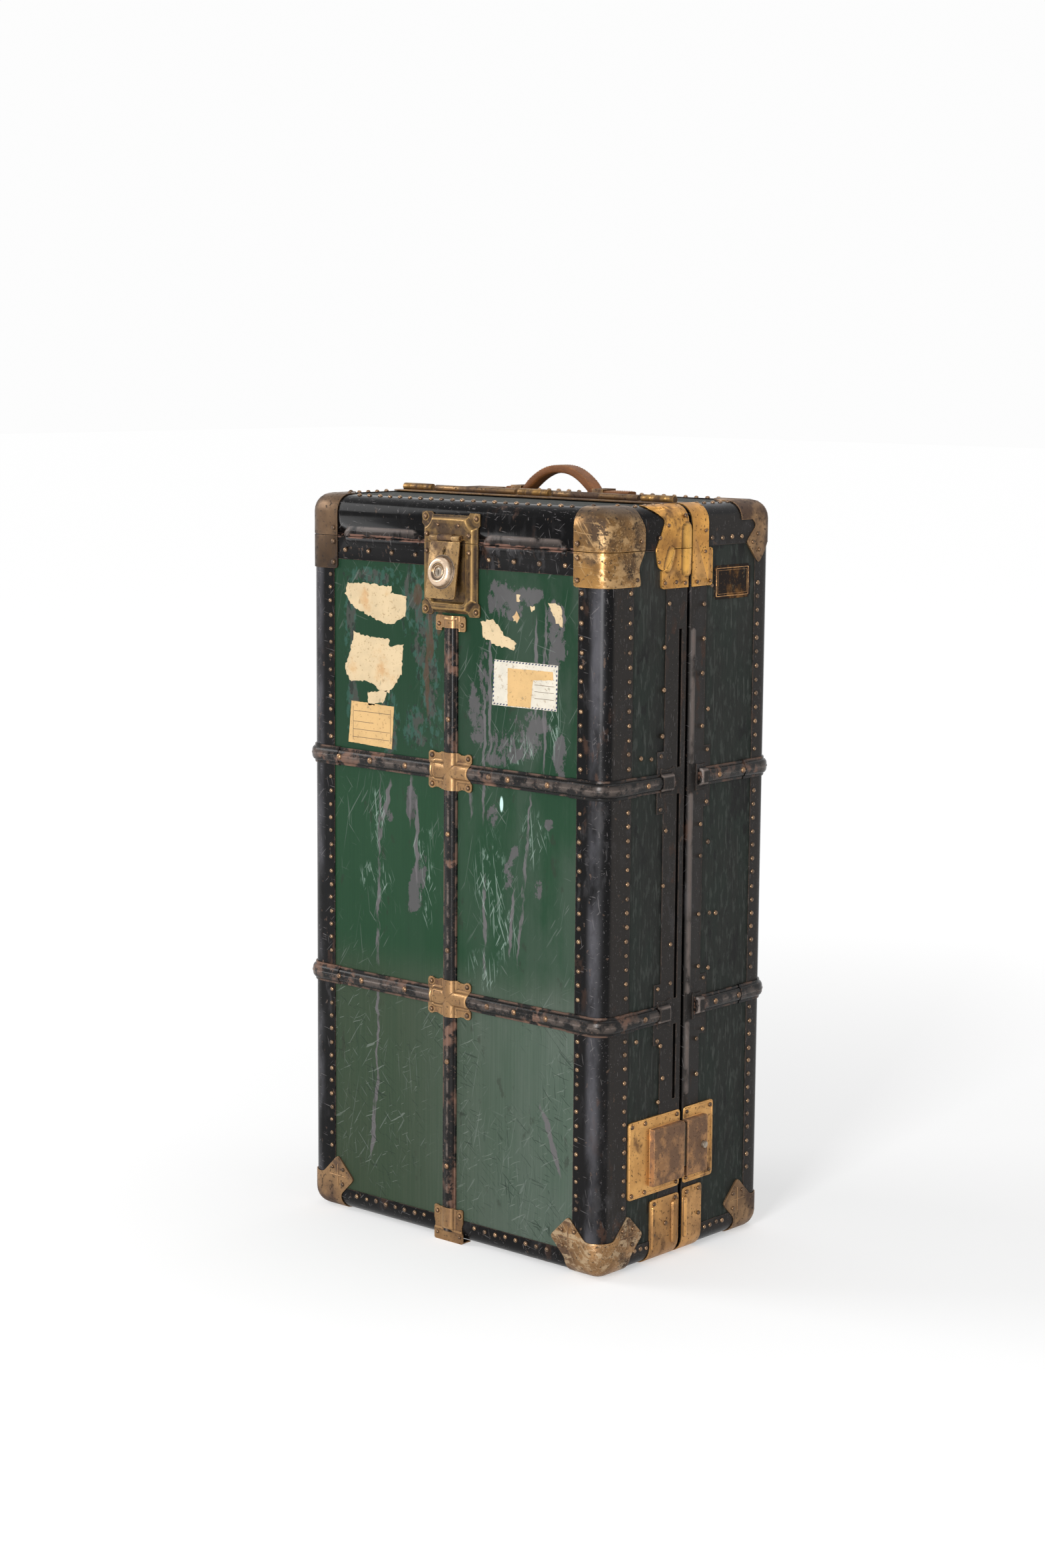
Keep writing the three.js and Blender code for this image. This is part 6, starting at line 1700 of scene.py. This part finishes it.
LOBE_MIDDLE, LOBE_REACH, RIB_WIDTH, RIB_PROUD = 56.0, 34.0, 1.8, 0.8
cap_ribs = {"front_shell": [], "rear_shell": []}
for side, outward in SIDES:
    for body, face_y, face_out, side_y in (
        ("front_shell", -PLATE, FRONT, LOBE_MIDDLE), ("rear_shell", DEPTH + PLATE, BACK, DEPTH - LOBE_MIDDLE),
    ):
        face_centre = (side * (HALF - LOBE_MIDDLE), face_y, 50)
        side_centre = (side * (HALF + PLATE), side_y, 50)
        for along, out, centre in (
            (UP, face_out, face_centre), (RIGHT, face_out, face_centre), (UP, outward, side_centre),
            (BACK, outward, side_centre),
        ):
            cap_ribs[body].append(bar(LOBE_REACH, RIB_WIDTH, RIB_PROUD, along, out, centre))
for body, parts in cap_ribs.items():
    gather(body + "_cap_ribs", parts, cap_brass, body, "brass")


def mark_bumps(node, height, foot, shoulder=9.0):
    """Marks pressed bumps: a painted highlight up to the shoulder, and painted shade round their feet."""
    piece = bpy.data.objects[node + "_dressed"]
    proud = [height(trunk_place(vertex.co)) for vertex in piece.data.vertices]
    crest = [0.5 * smooth(foot, foot + 1.5, out) * smooth(shoulder + 0.6, shoulder, out) for out in proud]
    hollow = [1.0 if 0.1 < out < foot else 0.0 for out in proud]
    keep(piece, crest=crest, hollow=hollow)
    print(node, "points on bumps", sum(out > 0.15 for out in proud))


for node in ("lid_top_plate", "front_top_plate", "rear_top_plate", "front_foot_plate", "rear_foot_plate"):
    mark_bumps(node, lambda place: place.x - HALF - PLATE, 2.8)
mark_bumps("lid_binding", lambda place: -place.y, 0.6, 3.1)
mark_bumps("front_edge_binding", lambda place: -place.y, 0.6, 0.0)
mark_bumps("rear_seam_binding", lambda place: abs(place.x) - HALF, 1.5)
FOOT_RIBS = [
    bar(62, wide, proud, UP, RIGHT, (HALF + PLATE, y, 50))
    for wide, proud, y in ((6, 2.0, 110), (11, 4.0, 156))
]
gather("front_foot_ribs", FOOT_RIBS, foot_brass, "front_shell", "brass")
CATCH_RIM_Z = (104, 204)
CATCH_RIM = (1.6, 0.5)
for body, near, far, outer in (
    ("front_shell", 58, 163, 58), ("rear_shell", REAR + 3, REAR + 63, REAR + 63),
):
    middle = (near + far) / 2
    rims = [bar(far - near, *CATCH_RIM, BACK, RIGHT, (HALF + PLATE, middle, z)) for z in CATCH_RIM_Z]
    rims.append(bar(CATCH_RIM_Z[1] - CATCH_RIM_Z[0], *CATCH_RIM, UP, RIGHT, (HALF + PLATE, outer, 154)))
    gather(body + "_catch_rims", rims, catch_brass, body, "brass")

POCKET_TALL = 20.0


def pocket(near, far, middle, place, open_end):
    """A plate over a band's end: open where the band comes in, flared at its corners."""
    half = (far - near) / 2
    centre = (near + far) / 2

    def outline(u, v):
        body = to_box(u - centre, v - middle, half, POCKET_TALL, 2.5)
        waist = math.hypot(u - centre, abs(v - middle) - POCKET_TALL - 26) - 29
        return max(body, -waist)

    def height(u, v):
        inner = to_box(u - centre + open_end * 6, v - middle, half + 2, 13.5, 4)
        return 1.2 + 6.4 * smooth(0, 4.5, -inner)

    return press(outline, height, (near, far, middle - POCKET_TALL, middle + POCKET_TALL), 0.0, place)


for label, height in BAND_HEIGHTS.items():
    for word, place in (("left", left_place), ("right", right_place)):
        for shell, near, far, open_end in (
            ("front", FRONT_BAND_END - 26, FRONT_BAND_END + 4, 1),
            ("rear", REAR_BAND_START - 3, REAR_BAND_START + 16, -1),
        ):
            made = pocket(near, far, height, place, open_end)
            name = f"{shell}_pocket_{label}_{word}"
            pressed_piece(name, made, dull_steel, shell + "_shell", slot="steel")
print("ribs and pockets pressed")

# %% [markdown]
# The handle is two layers of leather, stitched along both edges. The strap's outline follows the CAD
# solid; here its section is crowned, its edges are rounded, and the stitches are laid by a tree.
# %% Make the handle
STRAP_LEFT, STRAP_RIGHT = -115.0, 112.0
ARCH_LEFT, ARCH_RIGHT, ARCH_PEAK = -80.0, 50.0, -13.0
handle_low, handle_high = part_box("handle_strap")
STRAP_Y = ((handle_low.y + handle_high.y) / 2 - front_y) / MM
STRAP_WIDTH = (handle_high.y - handle_low.y) / MM
STRAP_BASE = (handle_low.z - bottom_z) / MM
STRAP_TOP = (handle_high.z - bottom_z) / MM
STRAP_THICK, STRAP_END = 11.5, 8.8
ARCH_RISE = STRAP_TOP - STRAP_BASE - STRAP_THICK


def strap_lift(x):
    """How high the strap's underside stands at x."""
    if x <= ARCH_LEFT or x >= ARCH_RIGHT:
        return 0.0
    span = ARCH_PEAK - ARCH_LEFT if x < ARCH_PEAK else ARCH_RIGHT - ARCH_PEAK
    share = 1 - (abs(x - ARCH_PEAK) / span) ** 2.3
    return ARCH_RISE * share ** 1.2


def strap_thickness(x):
    """The strap is thinner where it passes under its keepers."""
    return STRAP_END + (STRAP_THICK - STRAP_END) * smooth(0, 0.35, strap_lift(x) / ARCH_RISE)


def strap_lean(x):
    """The strap's slope at x, as an angle."""
    return math.atan2(strap_lift(x + 1) - strap_lift(x - 1), 2)


def strap_piece():
    """The strap: a rounded section carried along its line."""
    half = STRAP_WIDTH / 2
    section = []
    for i in range(24):
        angle = 2 * math.pi * i / 24
        across = half * math.copysign(abs(math.cos(angle)) ** 0.4, math.cos(angle))
        lift = math.copysign(abs(math.sin(angle)) ** 0.55, math.sin(angle)) / 2
        section.append((across, lift))
    verts, rim = [], []
    stations = 72
    for step in range(stations + 1):
        x = STRAP_LEFT + (STRAP_RIGHT - STRAP_LEFT) * step / stations
        lean = strap_lean(x)
        end = min(step, stations - step) / 3
        taper = min(1.0, 0.72 + 0.28 * end)
        thick = strap_thickness(x)
        for across, lift in section:
            rise = STRAP_BASE + thick / 2 + strap_lift(x) + thick * lift * math.cos(lean)
            place = (x - thick * lift * math.sin(lean), STRAP_Y + across * taper, rise)
            verts.append(at(*place))
            rim.append(1.0 if abs(across) > half * 0.93 else 0.0)
    faces = loft(stations + 1, len(section))
    name = "handle_strap"
    keep(new_piece(name + "_dressed", verts, faces, leather, "rear_shell", "leather", name), rim=rim)


strap_piece()
STITCH_PITCH = 4.2
stitches = []
for step in range(int((STRAP_RIGHT - STRAP_LEFT - 8) / STITCH_PITCH)):
    x = STRAP_LEFT + 4 + step * STITCH_PITCH
    lean = strap_lean(x)
    along, out = (math.cos(lean), 0, math.sin(lean)), (-math.sin(lean), 0, math.cos(lean))
    half_thick = strap_thickness(x) / 2
    for side in (-1, 1):
        top = STRAP_BASE + strap_lift(x) + half_thick * (1 + 0.93 * math.cos(lean))
        place = (x - half_thick * 0.93 * math.sin(lean), STRAP_Y + side * (STRAP_WIDTH / 2 - 3.2), top)
        stitches.append((place, out, 1.0, along))
scatter(
    "handle_stitches", stitches, "rear_shell", "leather",
    Radius=0.55 * MM, Height=0.45 * MM, Stretch=3.0, Finish=thread,
)
print("handle", round(STRAP_RIGHT - STRAP_LEFT), "mm long")

# %% [markdown]
# A small enamelled plate sits below the top binding on the rear shell. It is left plain, with a gilt
# line round it and notched corners.
# %% Fix the side plate
BADGE = (REAR + 92, 928.0, 40.0, 23.0)


def badge_outline(u, v):
    over, up = abs(u - BADGE[0]), abs(v - BADGE[1])
    plate = to_box(over, up, BADGE[2], BADGE[3], 1)
    notch = to_box(over - BADGE[2], up - BADGE[3], 4, 3, 0.5)
    return max(plate, -notch)


def badge_height(u, v):
    over, up = abs(u - BADGE[0]), abs(v - BADGE[1])
    line = abs(to_box(over, up, BADGE[2] - 4.5, BADGE[3] - 4, 1.5))
    return -0.7 + 0.35 * smooth(0.9, 0.2, line)


pressed_piece(
    "side_badge",
    press(badge_outline, badge_height, (BADGE[0] - 41, BADGE[0] + 41, 904, 952), -PANEL_IN, right_place, 0.9),
    badge_enamel, "rear_shell",
)
gilt = []
for reach_in, width in ((4.5, 1.1), (7.5, 0.5)):
    wide, tall = BADGE[2] - reach_in, BADGE[3] - reach_in + 0.5
    for end in (-1, 1):
        gilt.append(bar(2 * wide, width, 0.3, BACK, RIGHT, (HALF - 0.5, BADGE[0], BADGE[1] + end * tall)))
        gilt.append(bar(2 * tall, width, 0.3, UP, RIGHT, (HALF - 0.5, BADGE[0] + end * wide, BADGE[1])))
gather("side_badge_gilding", gilt, gilt_line, "rear_shell", "brass")
print("side plate fixed")

# %% [markdown]
# What is left of the paper labels is torn, so each outline is drawn and roughened. The sheets
# carry no words: a ruled frame, a striped border and a strip of tape keep their character.
# %% Paste the labels
PAPER_LIFT = 0.25
TORN = {
    "label_upper": [(-201, 913), (-160, 914), (-114, 912), (-116, 903), (-86, 901), (-89, 873), (-117, 859),
                    (-145, 865), (-183, 878), (-197, 886), (-205, 897)],
    "label_lower": [(-188, 845), (-160, 840), (-120, 840), (-119, 828), (-92, 834), (-96, 792), (-119, 764),
                    (-142, 768), (-160, 778), (-196, 775), (-206, 794), (-197, 811)],
    "label_scrap": [(-162, 761), (-122, 768), (-129, 750), (-160, 742)],
    "label_patch": [(53, 875), (73, 880), (86, 870), (97, 858), (116, 851), (112, 841), (83, 844), (56, 855)],
    "label_corner": [(173, 909), (195, 906), (198, 878), (186, 882)],
    "scrap_left": [(116, 915), (123, 914), (122, 907), (117, 907)],
    "scrap_right": [(140, 901), (150, 902), (149, 896), (143, 894)],
    "scrap_low": [(110, 887), (118, 894), (124, 886), (119, 878), (111, 880)],
}
RULED = [(-193, 747), (-110, 745), (-114, 685), (-199, 688)]
STRIPED = [(78, 826), (191, 826), (189, 765), (74, 764)]
TAPE = [(102, 816), (182, 817), (183, 806), (147, 803), (143, 766), (102, 765)]


def torn_outline(points, rough, seed):
    """The outline with small uneven steps between its corners."""
    maker = random.Random(seed)
    result = []
    for i, start in enumerate(points):
        end = points[(i + 1) % len(points)]
        steps = max(2, int((Vector(end) - Vector(start)).length / 3.5))
        for step in range(steps):
            place = Vector(start).lerp(Vector(end), step / steps)
            shift = Vector((maker.uniform(-rough, rough), maker.uniform(-rough, rough)))
            result.append(place + shift)
    return result


def sheet_of_paper(name, outline, lift, finish):
    """A thin closed sheet on the front panel."""
    count = len(outline)
    back, face = PANEL_IN - 0.05, PANEL_IN - lift
    verts = [at(x, back, z) for x, z in outline] + [at(x, face, z) for x, z in outline]
    return new_piece(name, verts, loft(2, count), finish, "front_shell")


for index, (name, points) in enumerate(TORN.items()):
    sheet_of_paper(name, torn_outline(points, 1.6, index), PAPER_LIFT, cream_paper)
for name, points, rough, seed, lift, finish in (
    ("label_ruled", RULED, 0.3, 7, PAPER_LIFT, tan_paper),
    ("label_striped", STRIPED, 0.2, 8, PAPER_LIFT, white_paper),
    ("label_tape", TAPE, 0.3, 9, 2 * PAPER_LIFT, tan_paper),
):
    sheet_of_paper(name, torn_outline(points, rough, seed), lift, finish)


def stripe(corner, run, across):
    """A thin printed bar."""
    start, end, side = Vector(corner), Vector(corner) + Vector(run), Vector(across)
    verts = [
        at(place.x, PANEL_IN - lift, place.y) for lift in (0.1, PAPER_LIFT + 0.1)
        for place in (start, end, end + side, start + side)
    ]
    return verts, loft(2, 4)


stripes = [stripe((76 + i * 5.7, z), (2.6, 0), (1.6, 2.0)) for z in (823.5, 765.2) for i in range(20)]
stripes += [stripe((x, 768.5 + i * 6.0), (2.2, 0.8), (0, 2.8)) for x in (75.2, 187.6) for i in range(9)]
gather("label_border", stripes, stripe_ink, "front_shell", None)
RULES = [(733, -188, -116), (718, -190, -150), (707, -190, -118), (696, -191, -119)]
prints = [stripe((150, z), (34, 0), (0, 0.6)) for z in (806, 797, 788, 779)]
prints += [stripe((left, z), (right - left, 0), (0, 0.7)) for z, left, right in RULES]
prints += [stripe((x, 692), (0, 48), (0.7, 0)) for x in (-190, -117)]
gather("label_printing", prints, print_ink, "front_shell", None)
print("labels pasted")

# %% [markdown]
# The lid cushion is a padded board under the lift top, which keeps clothes on their hangers. Cotton is
# drawn over wadding: flat against the lid, crowned below, and pulled in between the corners. A piped
# seam runs round it, and a sewn channel with four covered buttons runs along its middle. A cloth
# simulation could swell it, but formulas for the crown and the dimples keep it in its place exactly.
# %% Pad the lid
CUSHION_SEAM = 13.0
CUSHION_PULL = 4.5
PIPING = 2.0
CUSHION_CELLS = (120, 40)
BUTTON_PLACES = (-168.0, -56.0, 56.0, 168.0)
BUTTON_DEPTH, BUTTON_REACH = 13.0, 18.0
CHANNEL_DEPTH, CHANNEL_REACH = 6.5, 8.0
BUTTON = [(0.4, 3.4), (3.6, 3.0), (6.0, 1.8), (7.2, 0.2), (6.6, -1.2), (0.4, -1.6)]
cushion_low, cushion_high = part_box("lid_cushion")
CUSHION_TOP = (cushion_high.z - bottom_z) / MM
CUSHION_BELLY = (cushion_high.z - cushion_low.z) / MM - CUSHION_SEAM
CUSHION_WIDE = (cushion_high.x - cushion_low.x) / 2 / MM - PIPING
CUSHION_DEEP = (cushion_high.y - cushion_low.y) / 2 / MM - PIPING
CUSHION_Y = ((cushion_high.y + cushion_low.y) / 2 - front_y) / MM


def cushion_plan(u, v):
    """A point in plan, for u and v from -1 to 1: the sides pull in between the corners."""
    x = u * (CUSHION_WIDE - CUSHION_PULL * (1 - v * v))
    return x, v * (CUSHION_DEEP - CUSHION_PULL * (1 - u * u))


def cushion_bulge(u, v):
    """How far the wadding hangs below the seam: a crown, less the channel and the buttons."""
    x, y = cushion_plan(u, v)
    crown = math.sqrt(max(0.0, (1 - abs(u) ** 9) * (1 - abs(v) ** 2.6)))
    drawn = CHANNEL_DEPTH * math.exp(-(y / CHANNEL_REACH) ** 2)
    for place in BUTTON_PLACES:
        away = math.hypot(x - place, y) / BUTTON_REACH
        drawn = max(drawn, BUTTON_DEPTH * math.exp(-away * away))
    return crown * (CUSHION_BELLY - drawn)


def cushion_shell():
    """The closed cover: the crowned side, and the flat side that lies on the board."""
    across, deep = CUSHION_CELLS
    verts, number = [], {}
    for flat in (False, True):
        for i in range(across + 1):
            for j in range(deep + 1):
                on_seam = i in (0, across) or j in (0, deep)
                if flat and on_seam:
                    number[flat, i, j] = number[False, i, j]
                    continue
                shares = (2 * i / across - 1, 2 * j / deep - 1)
                u, v = ((share + math.sin(math.pi / 2 * share)) / 2 for share in shares)
                x, y = cushion_plan(u, v)
                rounded = CUSHION_SEAM * max(abs(u), abs(v)) ** 24
                drop = rounded if flat else CUSHION_SEAM + cushion_bulge(u, v)
                number[flat, i, j] = len(verts)
                verts.append(at(x, CUSHION_Y + y, CUSHION_TOP - drop))
    faces = []
    for flat in (False, True):
        for i in range(across):
            for j in range(deep):
                corners = ((i, j), (i + 1, j), (i + 1, j + 1), (i, j + 1))
                faces.append(tuple(number[flat, a, b] for a, b in corners))
    return verts, faces


def cushion_piping(sides=8):
    """A covered cord along the seam."""
    across, deep = CUSHION_CELLS
    shares_u = [2 * i / across - 1 for i in range(across + 1)]
    shares_v = [2 * j / deep - 1 for j in range(deep + 1)]
    loop = [(u, -1) for u in shares_u] + [(1, v) for v in shares_v[1:]]
    loop += [(u, 1) for u in shares_u[-2::-1]] + [(-1, v) for v in shares_v[-2:0:-1]]
    line = [Vector(cushion_plan(u, v)) for u, v in loop]
    verts = []
    count = len(line)
    for i, place in enumerate(line):
        run = (line[(i + 1) % count] - line[i - 1]).normalized()
        for k in range(sides):
            angle = 2 * math.pi * k / sides
            out, up = PIPING * math.cos(angle), PIPING * math.sin(angle)
            x, y = place.x + run.y * out, place.y - run.x * out
            verts.append(at(x, CUSHION_Y + y, CUSHION_TOP - CUSHION_SEAM + up))
    return verts, ring_faces(count, sides)


def cushion_button(x):
    """A covered button at the bottom of its dimple."""
    low = CUSHION_TOP - CUSHION_SEAM - CUSHION_BELLY + BUTTON_DEPTH

    def place(u, v, out):
        return at(x + u, CUSHION_Y + v, low - out)

    return turned(BUTTON, place, 20)


cushion_parts = [cushion_shell(), cushion_piping(), *(cushion_button(x) for x in BUTTON_PLACES)]
cushion = gather("lid_cushion_dressed", cushion_parts, cushion_cloth, "lift_top", slot_of["lid_cushion"])
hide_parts("lid_cushion")
print("cushion", round(2 * CUSHION_WIDE), "by", round(2 * CUSHION_DEEP), "mm, buttons", len(BUTTON_PLACES))
